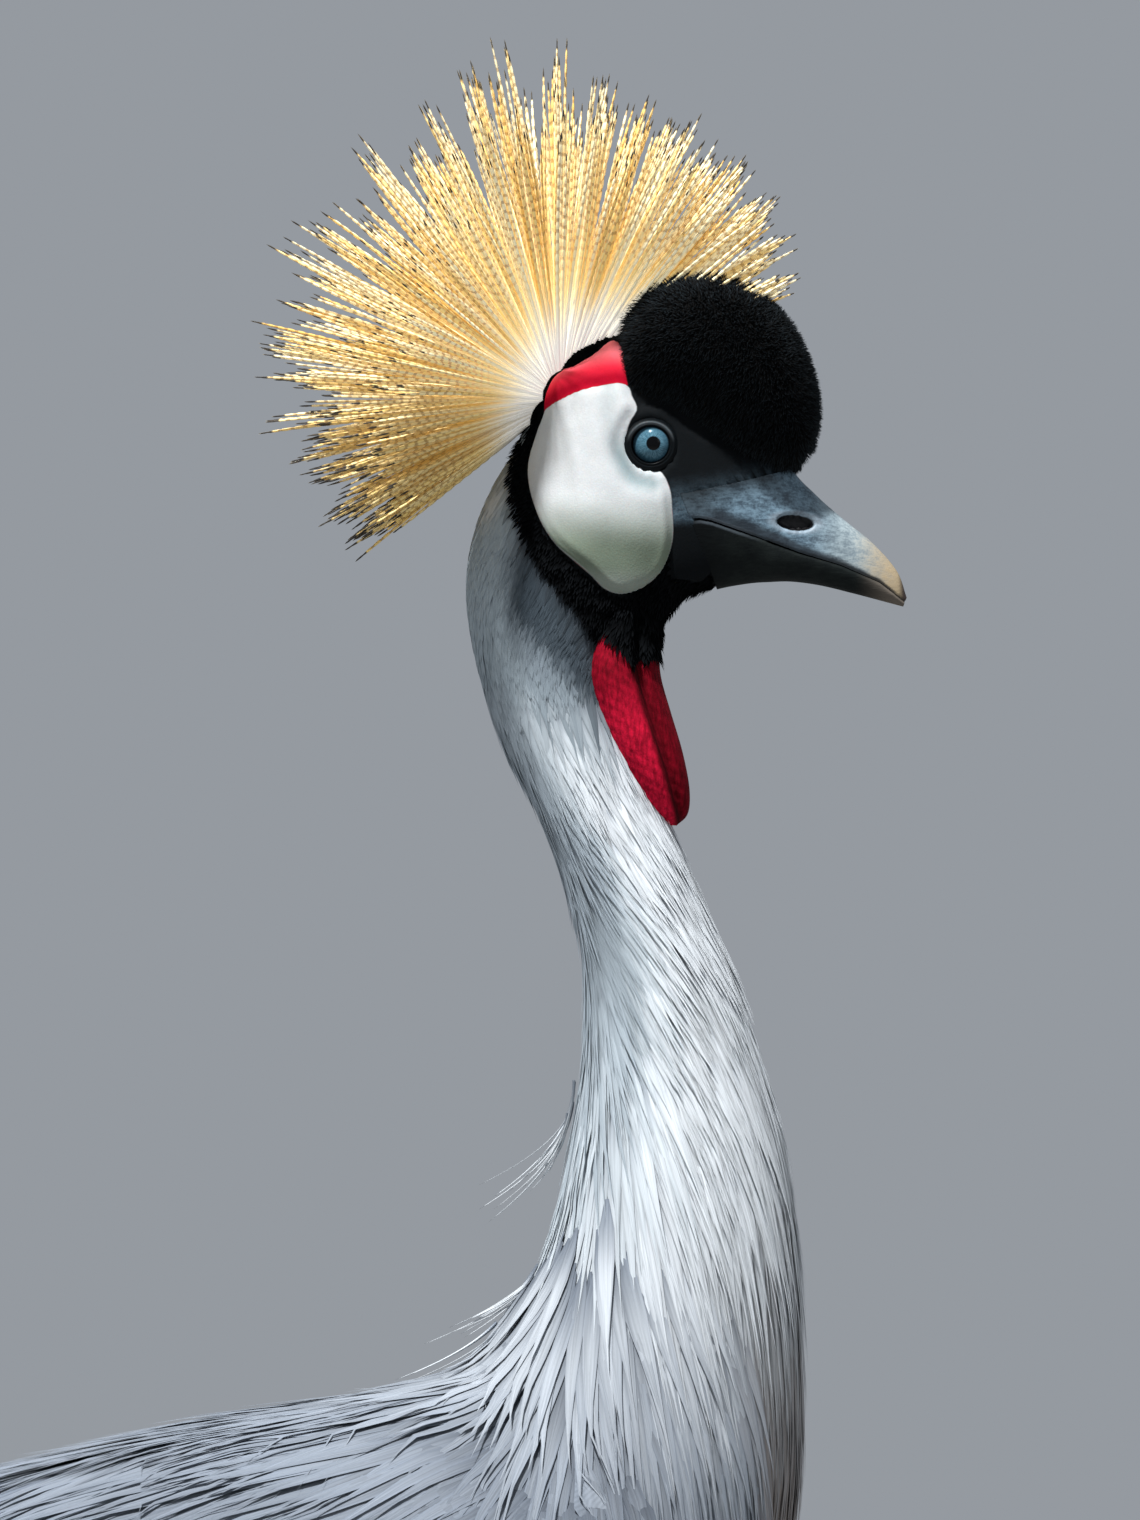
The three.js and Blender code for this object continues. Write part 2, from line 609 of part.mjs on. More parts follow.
function leg(name, sign, footX) {
  const y = sign * STANCE_HALF;
  const foot = new THREE.Vector3(footX, y, 0);
  const ankleX = footX - 14;
  const ankle = ANKLE_HEIGHT;
  const hockTop = ankle + 18;

  // Feathered thigh, bare shank, and the tarsus with the ankle above it
  const thigh = legPiece(
    [
      [ankleX + 58, y * 1.08, 470, 44, 30],
      [ankleX + 46, y * 1.12, 425, 44, 33],
      [ankleX + 36, y * 1.1, 385, 35, 27],
      [ankleX + 26, y * 1.05, 345, 24, 19],
      [ankleX + 18, y, 308, 14, 12],
      [ankleX + 14, y, 288, 9, 8.4],
    ],
    14,
  );
  add(`thigh_${name}`, thigh.subtract(trunkWhole(GAP)), LOOKS.slate);
  const shank = legPiece(
    [
      [ankleX + 13.8, y, 288 - GAP, 8.2, 7.6],
      [ankleX + 8, y, 262, 7, 6.4],
      [ankleX + 3.5, y, hockTop + GAP, 8.2, 7.4],
    ],
    12,
  );
  add(`shank_${name}`, shank, LOOKS.leg);
  const shaft = legPiece(
    [
      [ankleX + 3.4, y, hockTop, 8.6, 7.8],
      [ankleX + 1, y, ankle + 7, 11, 10],
      [ankleX, y, ankle - 4, 11.5, 10],
      [ankleX + 1, y, ankle - 20, 8.4, 6.8],
      [ankleX + 3, y, ankle - 45, 7, 5.6],
      [ankleX + 7, y, ankle - TARSUS_LENGTH / 2, 6.4, 5.2],
      [ankleX + 12, y, 40, 7, 6.2],
      [footX, y, 20, 9, 10],
      [footX + 1, y, 9, 10, 10.5],
      [footX + 1, y, 0, 7, 7],
    ],
    12,
  );

  const toes = [
    ["inner", -sign * TOE_SPREAD, INNER_TOE, TOE_GIRTH * 0.94],
    ["middle", 0, MIDDLE_TOE, TOE_GIRTH],
    ["outer", sign * TOE_SPREAD, OUTER_TOE, TOE_GIRTH * 0.94],
    ["hind", 180 + sign * 6, HIND_TOE, TOE_GIRTH * 0.85],
  ];
  let tarsus = shaft;
  for (const [toe, degrees, length, girth] of toes) {
    const heading = THREE.MathUtils.degToRad(degrees);
    tarsus = tarsus.add(toePiece(foot, heading, length, girth, 0, TOE_ROOT, 1));
    add(`toe_${name}_${toe}`, toePiece(foot, heading, length, girth, TOE_ROOT + GAP, length, 4), LOOKS.leg);
    const claw = clawPiece(foot, heading, length + GAP, girth * 0.6);
    add(`claw_${name}_${toe}`, claw, LOOKS.darkHorn);
  }
  add(`tarsus_${name}`, tarsus, LOOKS.leg);
}

trunkAndNeck();
headAndBill();
velvetCap();
crest();
wings();
tail();
leg("left", 1, FOOT_LEFT_X);
leg("right", -1, FOOT_RIGHT_X);

// Bring the origin to the middle of the bird's box, at the level of the soles
const box = new THREE.Box3().setFromObject(bird);
const middle = box.getCenter(new THREE.Vector3());
for (const mesh of bird.children) mesh.position.set(-middle.x, -middle.y, -box.min.z);

export default bird;
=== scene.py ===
"""Grey crowned crane, a life-size still model: skin, feathers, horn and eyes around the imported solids."""

import math

import bpy
import numpy as np
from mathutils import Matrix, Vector


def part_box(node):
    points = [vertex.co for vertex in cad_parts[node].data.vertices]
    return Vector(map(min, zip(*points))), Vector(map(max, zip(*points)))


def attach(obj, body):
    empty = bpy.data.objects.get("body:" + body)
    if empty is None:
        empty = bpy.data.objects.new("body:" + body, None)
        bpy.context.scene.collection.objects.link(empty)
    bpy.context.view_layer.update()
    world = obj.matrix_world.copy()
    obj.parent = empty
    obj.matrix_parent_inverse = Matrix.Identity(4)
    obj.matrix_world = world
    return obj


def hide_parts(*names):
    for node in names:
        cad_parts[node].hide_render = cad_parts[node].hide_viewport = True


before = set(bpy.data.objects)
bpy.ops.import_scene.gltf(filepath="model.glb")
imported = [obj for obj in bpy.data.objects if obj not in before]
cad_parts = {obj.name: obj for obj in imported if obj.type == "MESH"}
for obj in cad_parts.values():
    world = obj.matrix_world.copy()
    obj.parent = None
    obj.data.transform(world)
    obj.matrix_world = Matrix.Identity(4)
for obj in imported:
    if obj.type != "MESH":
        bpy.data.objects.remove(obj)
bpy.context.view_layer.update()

# Driving sizes, in millimetres. X runs forward from the middle of the photograph, Z up from the soles.
MM = 0.001
TRUNK_BACK_END = -302
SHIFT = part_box("trunk")[0].x / MM - TRUNK_BACK_END
PHOTO_MIDDLE_Z = 830.9
PHOTO_HEIGHT = 539.6
CAMERA_DISTANCE = 6000
EYE = np.array([29.5, 9.8, 943.0])
EYE_RADIUS = 9.0
IRIS_MIDDLE = EYE + (-0.9, 0, -0.4)
IRIS_RADIUS = 6.5
PUPIL_RADIUS = 2.5
CHEEK_RISE = 2.1
RED_RISE = 1.5
# Size of a feather's patch on the unwrap, and the angle of a full turn in a shader
PATCH = 0.003
FULL_TURN = 6.283
SIDES = {"left": 1, "right": -1}

# Places counted in the sections below, which run in the middle plane from rump to bill tip. Each has back
# X, Z, front X, Z, half width, widest place and roundness
NECK_TOP = 12
BILL_START = 21.35
BILL_TIP = 30
SECTIONS = [
    (-302, 540, -298, 520, 14, 0.5, 1), (-262, 561, -248, 476, 44, 0.5, 1),
    (-203, 580, -190, 434, 66, 0.5, 0.95), (-132, 596.5, -118, 409, 79, 0.5, 0.92),
    (-64, 608.5, -42, 406, 84, 0.52, 0.92), (-34, 618, 20, 434, 80, 0.53, 0.94),
    (-17, 642, 62, 492, 68, 0.54, 1), (-7, 668, 80, 553, 56, 0.55, 1),
    (-1.5, 696, 83.5, 617, 46.5, 0.5, 1), (2.5, 727, 79, 683, 38.5, 0.5, 1),
    (2.5, 755, 67, 734, 32, 0.5, 1), (-2.5, 783, 51.5, 775, 27.5, 0.5, 1),
    (-13, 811, 36.5, 808, 24.5, 0.5, 1), (-26, 838, 25, 836, 22.5, 0.5, 1),
    (-34.5, 864, 19.5, 855, 21, 0.5, 1), (-38, 889, 20.5, 864, 20, 0.5, 1),
    (-35.8, 909, 27, 869, 19.5, 0.5, 1), (-28.5, 928, 33, 877, 19.5, 0.5, 1),
    (-18.5, 945, 38, 884, 19.3, 0.55, 1), (-13.5, 960, 41.5, 887.5, 19, 0.58, 0.9),
    (-6, 972.5, 46, 889.5, 18.6, 0.6, 0.85), (9, 981.5, 50.5, 891, 18, 0.6, 0.85),
    (29, 986, 55.5, 892.2, 16.8, 0.6, 0.88), (48, 980, 60, 893, 15, 0.62, 0.92),
    (64, 961, 65, 893.7, 13, 0.66, 1), (78, 935.5, 70, 894, 11.2, 0.72, 1),
    (87, 925.3, 78.5, 894.2, 9.8, 0.7, 1), (97, 916.4, 89, 892.8, 8.2, 0.68, 1),
    (107.5, 907.8, 101, 889.9, 6.2, 0.66, 1), (116, 898, 112, 887, 3.8, 0.64, 1),
    (119.6, 888.4, 118.4, 885.3, 1.2, 0.5, 1),
]
# Depth of the coat at places counted in sections
COAT_DEPTH = [(0, 6), (3, 8), (6, 7), (8, 5), (10, 3.6), (13, 2.4), (15, 1.6), (18, 1.3), (30, 1.2)]

# Outlines on the side of the head: X, Z
CHEEK = [
    (-9.6, 954), (-13.2, 944), (-15.2, 935.6), (-14.8, 928.5), (-12.9, 921.4), (-9.8, 914.2), (-5, 907.2),
    (1, 901.8), (7.2, 896.5), (12.5, 891.4), (18.5, 889.6), (25.5, 891.6), (31.5, 896.4), (35, 903),
    (36.4, 911), (36.1, 919.5), (35.4, 926.5), (32.6, 932.4), (27.2, 935.6), (22, 938.4), (19.8, 944.5),
    (21, 950.2), (23.6, 955.2), (21.8, 960), (19.4, 963.8), (8, 962), (-1.5, 958.8),
]
# The cheek and the red patch above it
BARE_FACE = CHEEK[:24] + [
    (20.2, 964.6), (19.3, 970.5), (18.3, 977), (16, 979.9), (12.9, 979), (8.9, 975.5), (1.9, 971.2),
    (-2.1, 969.8), (-5.2, 967.5), (-7.4, 964.4), (-8.9, 960.4), (-9.5, 956.8),
]
BLACK_DOWN = [
    (124, 880), (43, 886), (36, 877), (30, 868), (22.4, 861), (10.6, 872), (1.8, 885), (-8.9, 896.6),
    (-16.5, 909), (-21, 922), (-22.5, 933), (-19.5, 944.5), (-14.5, 953.4), (-13.5, 964), (-9, 972.2),
    (1, 979), (14.2, 986), (30, 1000), (124, 1000),
]
LORES = [
    (30, 953), (46, 943), (60.4, 936.5), (80, 935), (60, 912), (46, 896), (39, 897), (38, 909), (37.6, 922),
    (34.8, 929),
]
CHEEK_HOLLOW = [(14.4, 962.5), (14.2, 955), (16.2, 946), (18.6, 937), (22.5, 930.5), (29, 928.8)]
NAPE_STREAK = [(-12, 954), (-16, 944), (-21, 934), (-27, 925)]
GAPE = [
    (42, 915.8), (46, 916.3), (50, 915.5), (55.5, 913.6), (61, 911.7), (67.5, 909.4), (81.7, 904.2),
    (96, 900), (110, 893.9), (122, 884.6),
]
HORN_EDGE = [(41, 925.5), (60, 929.5), (79, 934.2), (150, 950)]
# Lower edge of the black down over the wattle: X, Z
WATTLE_EDGE = [(3, 868), (6, 871), (10.9, 877), (13, 876), (17.8, 870), (22.6, 864), (25, 867), (31, 866.5),
               (38, 864)]
WATTLE_CREASE = [(805, 39.5), (812, 38), (826, 34), (838, 30.5), (850, 26.5), (864, 23), (896, 22)]
# Ridge of the back: X, Z
RIDGE = [
    (-436, 436), (-390, 487), (-330, 526), (-302, 540), (-262, 561), (-203, 580), (-132, 596.5),
    (-64, 608.5), (-34, 614), (62, 606),
]
NECK_BACK = [(row[1], row[0]) for row in SECTIONS[5:22]]
# How far feathers run forward for each unit that they drop, at places along the side of the neck's base
BASE_FLOW = [
    (-220, -4.5), (-120, -3.2), (-60, -1.9), (-25, -1.0), (-8, -0.45), (4, 0.05), (20, 0.3), (45, 0.24),
    (75, 0.05), (95, 0),
]
NOSTRIL = {"x": 80.0, "z": 915.1, "half_long": 6.6, "half_high": 2.8, "slope": -0.07, "depth": 3.0}

CAP_SECTIONS = [
    (18.5, 981, 22, 968, 9, 0.5, 1), (21, 992, 23.5, 959.5, 19, 0.5, 1),
    (30.5, 1001.5, 31, 954.5, 24, 0.5, 1), (46, 1005.5, 42, 949, 26, 0.5, 1),
    (63.5, 1001, 53, 941, 26, 0.5, 1), (77.5, 988.5, 63.5, 935.2, 24.5, 0.5, 1),
    (85.5, 972, 71.5, 932.6, 21.5, 0.5, 1), (88.2, 957, 77, 932.8, 16.5, 0.5, 1),
    (86.2, 943.5, 80.5, 934.5, 8.5, 0.5, 1),
]
WATTLE_SECTIONS = [
    (18, 896, 28, 895, 9, 0.45, 1), (10, 885, 33, 881.5, 15.5, 0.42, 1), (5.4, 873, 32.4, 869, 18.8, 0.37, 1),
    (3.6, 862, 33, 860, 21, 0.38, 1), (5.5, 850, 36.5, 847.5, 20.5, 0.42, 1),
    (10.5, 836, 40.5, 834, 18.6, 0.46, 1), (17, 822.5, 43, 821, 14.8, 0.5, 1),
    (24, 812.5, 42.5, 812, 10, 0.5, 1), (29.5, 808, 38.5, 807.6, 4.6, 0.5, 1),
]
CREST = {"x": -3.5, "z": 958.7, "first": 24, "last": 218, "sideways": 66, "bed": 16}
CREST_REACH = [
    (24, 95), (41, 111), (62, 116), (90, 129), (104, 126), (130, 117), (166, 114), (202, 103), (218, 89),
]
CREST_ROOTS = [(24, 42), (45, 36), (60, 26), (90, 13.5), (135, 10.5), (180, 9.5), (218, 17)]

# Folded left wing, from shoulder to tip: X, top Z, top Y, low Z, low Y, bulge
WING_SECTIONS = [
    (36, 549, 74, 528, 75, 1), (10, 568, 73, 486, 80, 6), (-50, 580, 70, 455, 80, 13),
    (-120, 578, 61, 443, 77, 16), (-190, 570, 47, 432, 68, 18), (-260, 553, 31, 413, 56, 16),
    (-330, 522, 19, 394, 43, 12), (-390, 476, 11, 376, 31, 8), (-436, 424, 8, 362, 20, 3),
]
TAIL = {
    "root_x": -258, "root_z": 528, "tip_x": -418, "tip_z": 418, "sag": 14, "root_half": 30, "tip_half": 19,
    "feathers": 11,
}

# Legs and feet
TARSUS_LENGTH = 200
ANKLE_HEIGHT = 214
STANCE_HALF = 46
FOOT_X = {"right": -98, "left": -126}
TOES = {"inner": 64, "middle": 88, "outer": 68, "hind": 46}
TOE_SPREAD = 36
CLAW_LENGTH = 15
TOE_GIRTH = 4.6


# Curves, distances and grids of points
def unit(vectors):
    return vectors / np.maximum(np.linalg.norm(vectors, axis=-1, keepdims=True), 1e-9)


def ease(low, high, value):
    """Goes smoothly from 0 at low to 1 at high, also where low is the greater of the two."""
    t = np.clip((value - low) / (high - low), 0, 1)
    return t * t * (3 - 2 * t)


def blend(a, b, share):
    return a + (b - a) * share


def through(rows, place):
    """Values at a place, counted in rows, on the smooth curve through the rows."""
    rows = np.asarray(rows, float)
    place = np.clip(np.asarray(place, float), 0, len(rows) - 1)
    start = np.minimum(place.astype(int), len(rows) - 2)
    f = (place - start)[..., None]
    padded = np.vstack([2 * rows[0] - rows[1], rows, 2 * rows[-1] - rows[-2]])
    a, b, c, d = (padded[start + n] for n in range(4))
    bent = (2 * a - 5 * b + 4 * c - d) * f**2 + (3 * b - a - 3 * c + d) * f**3
    return 0.5 * (2 * b + (c - a) * f + bent)


def turns(count):
    """Angles spaced evenly round a full turn."""
    return np.arange(count) / count * 2 * np.pi


def read_off(table, value):
    xs, ys = zip(*table)
    return np.interp(value, xs, ys)


def closed_line(outline, steps=8):
    """Points on the smooth closed curve through an outline."""
    rows = np.asarray(outline, float)
    around = np.vstack([rows[-2:], rows, rows[:3]])
    return through(around, 2 + np.arange(len(rows) * steps) / steps)


def distance_to_line(x, z, line, closed=True):
    """Distance of each X, Z from a line of points."""
    points = np.stack([np.ravel(x), np.ravel(z)], -1)
    starts = line if closed else line[:-1]
    ends = np.roll(line, -1, axis=0) if closed else line[1:]
    best = np.full(len(points), np.inf)
    for start, end in zip(starts, ends):
        way = end - start
        t = np.clip(((points - start) @ way) / max(way @ way, 1e-9), 0, 1)
        best = np.minimum(best, np.linalg.norm(points - start - t[:, None] * way, axis=1))
    return best.reshape(np.shape(x))


def depth_inside(x, z, line):
    """Distance inside a closed line, negative outside it."""
    px, pz = np.ravel(x), np.ravel(z)
    inside = np.zeros(len(px), bool)
    for (ax, az), (bx, bz) in zip(line, np.roll(line, -1, axis=0)):
        crosses = (az > pz) != (bz > pz)
        inside ^= crosses & (px < (bx - ax) * (pz - az) / (bz - az if bz != az else 1e-9) + ax)
    return np.where(inside.reshape(np.shape(x)), 1, -1) * distance_to_line(x, z, line)


def ring_points(sections, place, turn, grow=0.0):
    """Points of a lofted body: place counts sections, and turn runs from the back over the left side."""
    row = through(sections, place)
    back, front = row[:, 0:2], row[:, 2:4]
    half, widest, roundness = row[:, 4:5], row[:, 5:6], row[:, 6:7]
    depth = np.linalg.norm(front - back, axis=1, keepdims=True)
    across = (front - back) / depth
    cosine, sine = np.cos(turn)[None, :], np.sin(turn)[None, :]
    up = np.sign(cosine) * np.abs(cosine) ** roundness
    out = np.sign(sine) * np.abs(sine) ** roundness
    reach = depth * np.where(up > 0, widest, 1 - widest) + grow
    along = depth * widest - up * reach
    x = back[:, :1] + across[:, :1] * along
    z = back[:, 1:] + across[:, 1:] * along
    return np.stack([x, out * (half + grow), z], -1)


def grid_normals(points, closed=True):
    down = np.gradient(points, axis=0)
    if closed:
        side = np.roll(points, -1, axis=1) - np.roll(points, 1, axis=1)
    else:
        side = np.gradient(points, axis=1)
    return unit(np.cross(down, side))


def grid_faces(rows, columns, closed=True):
    last = columns if closed else columns - 1
    i, j = np.meshgrid(np.arange(rows - 1), np.arange(last), indexing="ij")
    k = (j + 1) % columns
    quads = np.stack([i * columns + j, (i + 1) * columns + j, (i + 1) * columns + k, i * columns + k], -1)
    return quads.reshape(-1, 4).tolist()


def in_frame(points):
    """Millimetres of this script as metres of the shared frame."""
    return (np.asarray(points, float).reshape(-1, 3) + (SHIFT, 0, 0)) * MM


def show(name, data):
    """A new object in the scene."""
    made = bpy.data.objects.new(name, data)
    bpy.context.scene.collection.objects.link(made)
    return made


def make_object(name, points, faces):
    mesh = bpy.data.meshes.new(name)
    mesh.from_pydata(in_frame(points).tolist(), [], faces)
    mesh.validate()
    mesh.update()
    if faces:
        mesh.shade_smooth()
    return show(name, mesh)


def sheet(name, points, closed=False):
    """A mesh through a grid of points, open at its ends."""
    return make_object(name, points, grid_faces(*np.shape(points)[:2], closed=closed))


def set_attribute(made, name, values):
    """Stores one value or one vector for each vertex, or the same number for them all."""
    values = np.asarray(values, float)
    if not values.ndim:
        values = np.full(len(made.data.vertices), values)
    is_vector = values.ndim > 1 and values.shape[-1] == 3
    kind, field = ("FLOAT_VECTOR", "vector") if is_vector else ("FLOAT", "value")
    layer = made.data.attributes.new(name, kind, "POINT")
    layer.data.foreach_set(field, values.astype(np.float32).ravel())


def set_attributes(made, **named):
    for name, values in named.items():
        set_attribute(made, name, values)


def keep(made, slot, *nodes, material=None):
    """Adds a finished piece to the model, in place of the named solids."""
    if material:
        made.data.materials.append(material)
    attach(made, "root")
    if nodes:
        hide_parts(*nodes)
    return made


def tube(name, rings):
    """A closed mesh round a stack of rings, each an array of points."""
    rings = np.asarray(rings, float)
    rows, columns = rings.shape[:2]
    points = np.vstack([rings.reshape(-1, 3), rings[0].mean(0), rings[-1].mean(0)])
    faces = grid_faces(rows, columns)
    first, last = rows * columns, rows * columns + 1
    for j in range(columns):
        k = (j + 1) % columns
        faces.append((first, j, k))
        faces.append((last, (rows - 1) * columns + k, (rows - 1) * columns + j))
    return make_object(name, points, faces)


def join(name, *objects):
    """Several meshes as one object."""
    bpy.ops.object.select_all(action="DESELECT")
    for piece in objects:
        piece.select_set(True)
    bpy.context.view_layer.objects.active = objects[0]
    bpy.ops.object.join()
    objects[0].name = name
    objects[0].data.name = name
    return objects[0]


# Node trees
class Graph:
    """Adds nodes to a tree so that its steps read in order."""

    def __init__(self, tree):
        self.tree = tree
        self.given = {}
        self.output = None
        self.material = None

    def node(self, kind, inputs=None, **settings):
        made = self.tree.nodes.new(kind)
        for name, value in settings.items():
            setattr(made, name, value)
        for key, value in (inputs or {}).items():
            self.feed(made, key, value)
        return made

    def feed(self, node, key, value):
        if isinstance(key, int):
            target = node.inputs[key]
        else:
            target = next(s for s in node.inputs if s.name == key and s.enabled)
        if isinstance(value, bpy.types.Node):
            value = next(s for s in value.outputs if s.enabled)
        if isinstance(value, bpy.types.NodeSocket):
            self.tree.links.new(value, target)
        else:
            target.default_value = value

    def __getitem__(self, name):
        return self.given[name]

    def math(self, operation, first, *others):
        for other in others or (0.0,):
            first = self.node("ShaderNodeMath", {0: first, 1: other}, operation=operation)
        return first

    def times(self, *values):
        return self.math("MULTIPLY", *values)

    def plus(self, *values):
        return self.math("ADD", *values)

    def minus(self, a, b):
        return self.math("SUBTRACT", a, b)

    def over(self, a, b):
        return self.math("DIVIDE", a, b)

    def vector(self, operation, a, b=(0, 0, 0)):
        return self.node("ShaderNodeVectorMath", {0: a, 1: b}, operation=operation)

    def scaled(self, a, factor):
        return self.node("ShaderNodeVectorMath", {"Vector": a, "Scale": factor}, operation="SCALE")

    def combine(self, x, y, z):
        return self.node("ShaderNodeCombineXYZ", {0: x, 1: y, 2: z})

    def split(self, a):
        return self.node("ShaderNodeSeparateXYZ", {0: a}).outputs

    def spread(self, value, low, high, new_low=0.0, new_high=1.0):
        inputs = {"Value": value, "From Min": low, "From Max": high, "To Min": new_low, "To Max": new_high}
        return self.node("ShaderNodeMapRange", inputs, interpolation_type="SMOOTHSTEP")

    def noise(self, place, scale, detail=2.0, rough=0.5):
        inputs = {"Vector": place, "Scale": scale, "Detail": detail, "Roughness": rough}
        return self.node("ShaderNodeTexNoise", inputs)

    def colours(self, share, a, b):
        made = self.node("ShaderNodeMix", {0: share, 6: a, 7: b}, data_type="RGBA")
        return made.outputs[2]

    def layers(self, colour, *coats):
        """Lays colours over one another, each by a share of its own."""
        for share, over in coats:
            colour = self.colours(share, colour, over)
        return colour

    def values(self, share, a, b):
        return self.node("ShaderNodeMix", {"Factor": share, "A": a, "B": b})

    def named(self, name, kind="FLOAT"):
        """A stored attribute, in a geometry tree."""
        return self.node("GeometryNodeInputNamedAttribute", {"Name": name}, data_type=kind).outputs[0]

    def direction(self, name):
        return self.named(name, "FLOAT_VECTOR")

    def stored(self, name):
        """A stored attribute, in a material."""
        return self.node("ShaderNodeAttribute", attribute_name=name).outputs["Fac"]

    def here(self):
        """The place in object space, in a material."""
        return self.node("ShaderNodeTexCoord").outputs["Object"]

    def store(self, geometry, name, value, kind="FLOAT", domain="POINT"):
        inputs = {"Geometry": geometry, "Name": name, "Value": value}
        return self.node("GeometryNodeStoreNamedAttribute", inputs, data_type=kind, domain=domain)

    def random(self, low, high, seed):
        """A different value for each point."""
        is_vector = isinstance(low, tuple)
        kind = "FLOAT_VECTOR" if is_vector else "FLOAT"
        return self.node("FunctionNodeRandomValue", {"Min": low, "Max": high, "Seed": seed}, data_type=kind)

    def group(self, tree, inputs):
        kind = "GeometryNodeGroup" if tree.bl_idname == "GeometryNodeTree" else "ShaderNodeGroup"
        made = self.tree.nodes.new(kind)
        made.node_tree = tree
        for key, value in inputs.items():
            self.feed(made, key, value)
        return made

    def give(self, name, value):
        self.feed(self.output, name, value)

    def bump(self, height, distance, strength):
        self.give("Normal", self.node("ShaderNodeBump", {
            "Height": height, "Distance": distance, "Strength": strength,
        }))


def socket_kind(usual):
    if isinstance(usual, tuple):
        return "Color" if len(usual) == 4 else "Vector"
    return "Int" if isinstance(usual, int) else "Float"


def new_group(kind, name, inputs, outputs):
    """A node group with named sockets. Each input has its usual value, or the name of its kind."""
    tree = bpy.data.node_groups.new(name, kind)
    graph = Graph(tree)
    for label, usual in inputs.items():
        is_kind = isinstance(usual, str)
        socket = "NodeSocket" + (usual if is_kind else socket_kind(usual))
        made = tree.interface.new_socket(label, in_out="INPUT", socket_type=socket)
        if not is_kind:
            made.default_value = usual
    for label, socket in outputs.items():
        tree.interface.new_socket(label, in_out="OUTPUT", socket_type="NodeSocket" + socket)
    start = tree.nodes.new("NodeGroupInput")
    graph.given = {s.name: s for s in start.outputs if s.name}
    graph.output = tree.nodes.new("NodeGroupOutput")
    return graph


# Geometry Nodes: feathers, tufts and bristles
COAT_OUTPUT = {"Geometry": "Geometry"}


def set_out(g, points, shape, rotation, size):
    """Real copies of a shape on points."""
    copy = g.node("GeometryNodeObjectInfo", {"Object": shape, "As Instance": True}).outputs["Geometry"]
    inputs = {"Points": points, "Instance": copy, "Rotation": rotation, "Scale": size}
    placed = g.node("GeometryNodeInstanceOnPoints", inputs)
    return g.node("GeometryNodeRealizeInstances", {"Geometry": placed})


def dress(g, real, position):
    """Moves the copies' points, maps each copy on its patch of the unwrap and gives it its material."""
    moved = g.node("GeometryNodeSetPosition", {"Geometry": real, "Position": position})
    along = g.times(g.minus(g.named("t"), 0.5), g["Patch"])
    across = g.times(g.named("side"), g.times(g["Patch"], 0.5))
    spot = g.vector("ADD", g.direction("place"), g.combine(along, across, 0.0))
    mapped = g.store(moved, "OFBake", spot, "FLOAT2", "CORNER")
    finished = g.node("GeometryNodeSetMaterial", {"Geometry": mapped, "Material": g["Material"]})
    g.give("Geometry", g.node("GeometryNodeSetShadeSmooth", {"Geometry": finished, "Shade Smooth": True}))
    return g.tree


def scatter(g):
    """Points spread over the area that a coat covers, and the swing of the lock that each belongs to."""
    gap = g["Spacing"]
    points = g.node("GeometryNodeDistributePointsOnFaces", {
        "Mesh": g["Geometry"], "Distance Min": gap, "Density Max": g.over(2.0, g.times(gap, gap)),
        "Density Factor": g.named(g["Area"]), "Seed": g["Seed"],
    }, distribute_method="POISSON").outputs["Points"]
    here = g.vector("MULTIPLY", g.node("GeometryNodeInputPosition"), g["Lock Stretch"])
    lock = g.noise(here, g.over(1.0, g["Lock Size"]), 1.0)
    return points, lock.outputs["Fac"], g.vector("SUBTRACT", lock.outputs["Color"], (0.5, 0.5, 0.5))


def draw(g, low, high, turn):
    """A draw of its own for each point, different for each turn."""
    return g.random(low, high, g.plus(g["Seed"], turn))


def build_laid_vanes():
    """Puts a vane on each point and lays it along the bed, from its root height up to its tip height."""
    g = new_group("GeometryNodeTree", "laid_vanes", {
        "Points": "Geometry", "Bed": "Geometry", "Vane": "Object", "Material": "Material", "Rise Power": 1.0,
        "Arch": 0.0002, "Patch": PATCH,
    }, COAT_OUTPUT)
    inputs = {0: g.direction("lie"), 1: g.direction("up")}
    turned = g.node("FunctionNodeAxesToRotation", inputs, primary_axis="X", secondary_axis="Z")
    size = g.combine(g.named("long"), g.named("wide"), g.named("long"))
    real = set_out(g, g["Points"], g["Vane"], turned, size)
    here = g.node("GeometryNodeInputPosition")
    inputs = {"Mesh": g["Bed"], "Value": g.direction("up"), "Sample Position": here}
    nearest = g.node("GeometryNodeSampleNearestSurface", inputs, data_type="FLOAT_VECTOR")
    foot = g.node("GeometryNodeProximity", {"Geometry": g["Bed"], "Sample Position": here})
    t, side = g.named("t"), g.named("side")
    rise = g.times(g.math("POWER", t, g["Rise Power"]), g.named("high"))
    arch = g.times(g.minus(1.0, g.times(side, side)), g["Arch"])
    cant = g.times(side, g.named("cant"))
    height = g.plus(g.plus(rise, arch), g.plus(cant, g.named("root_high")))
    lifted = g.vector("ADD", foot.outputs["Position"], g.scaled(g.vector("NORMALIZE", nearest), height))
    return dress(g, real, lifted)


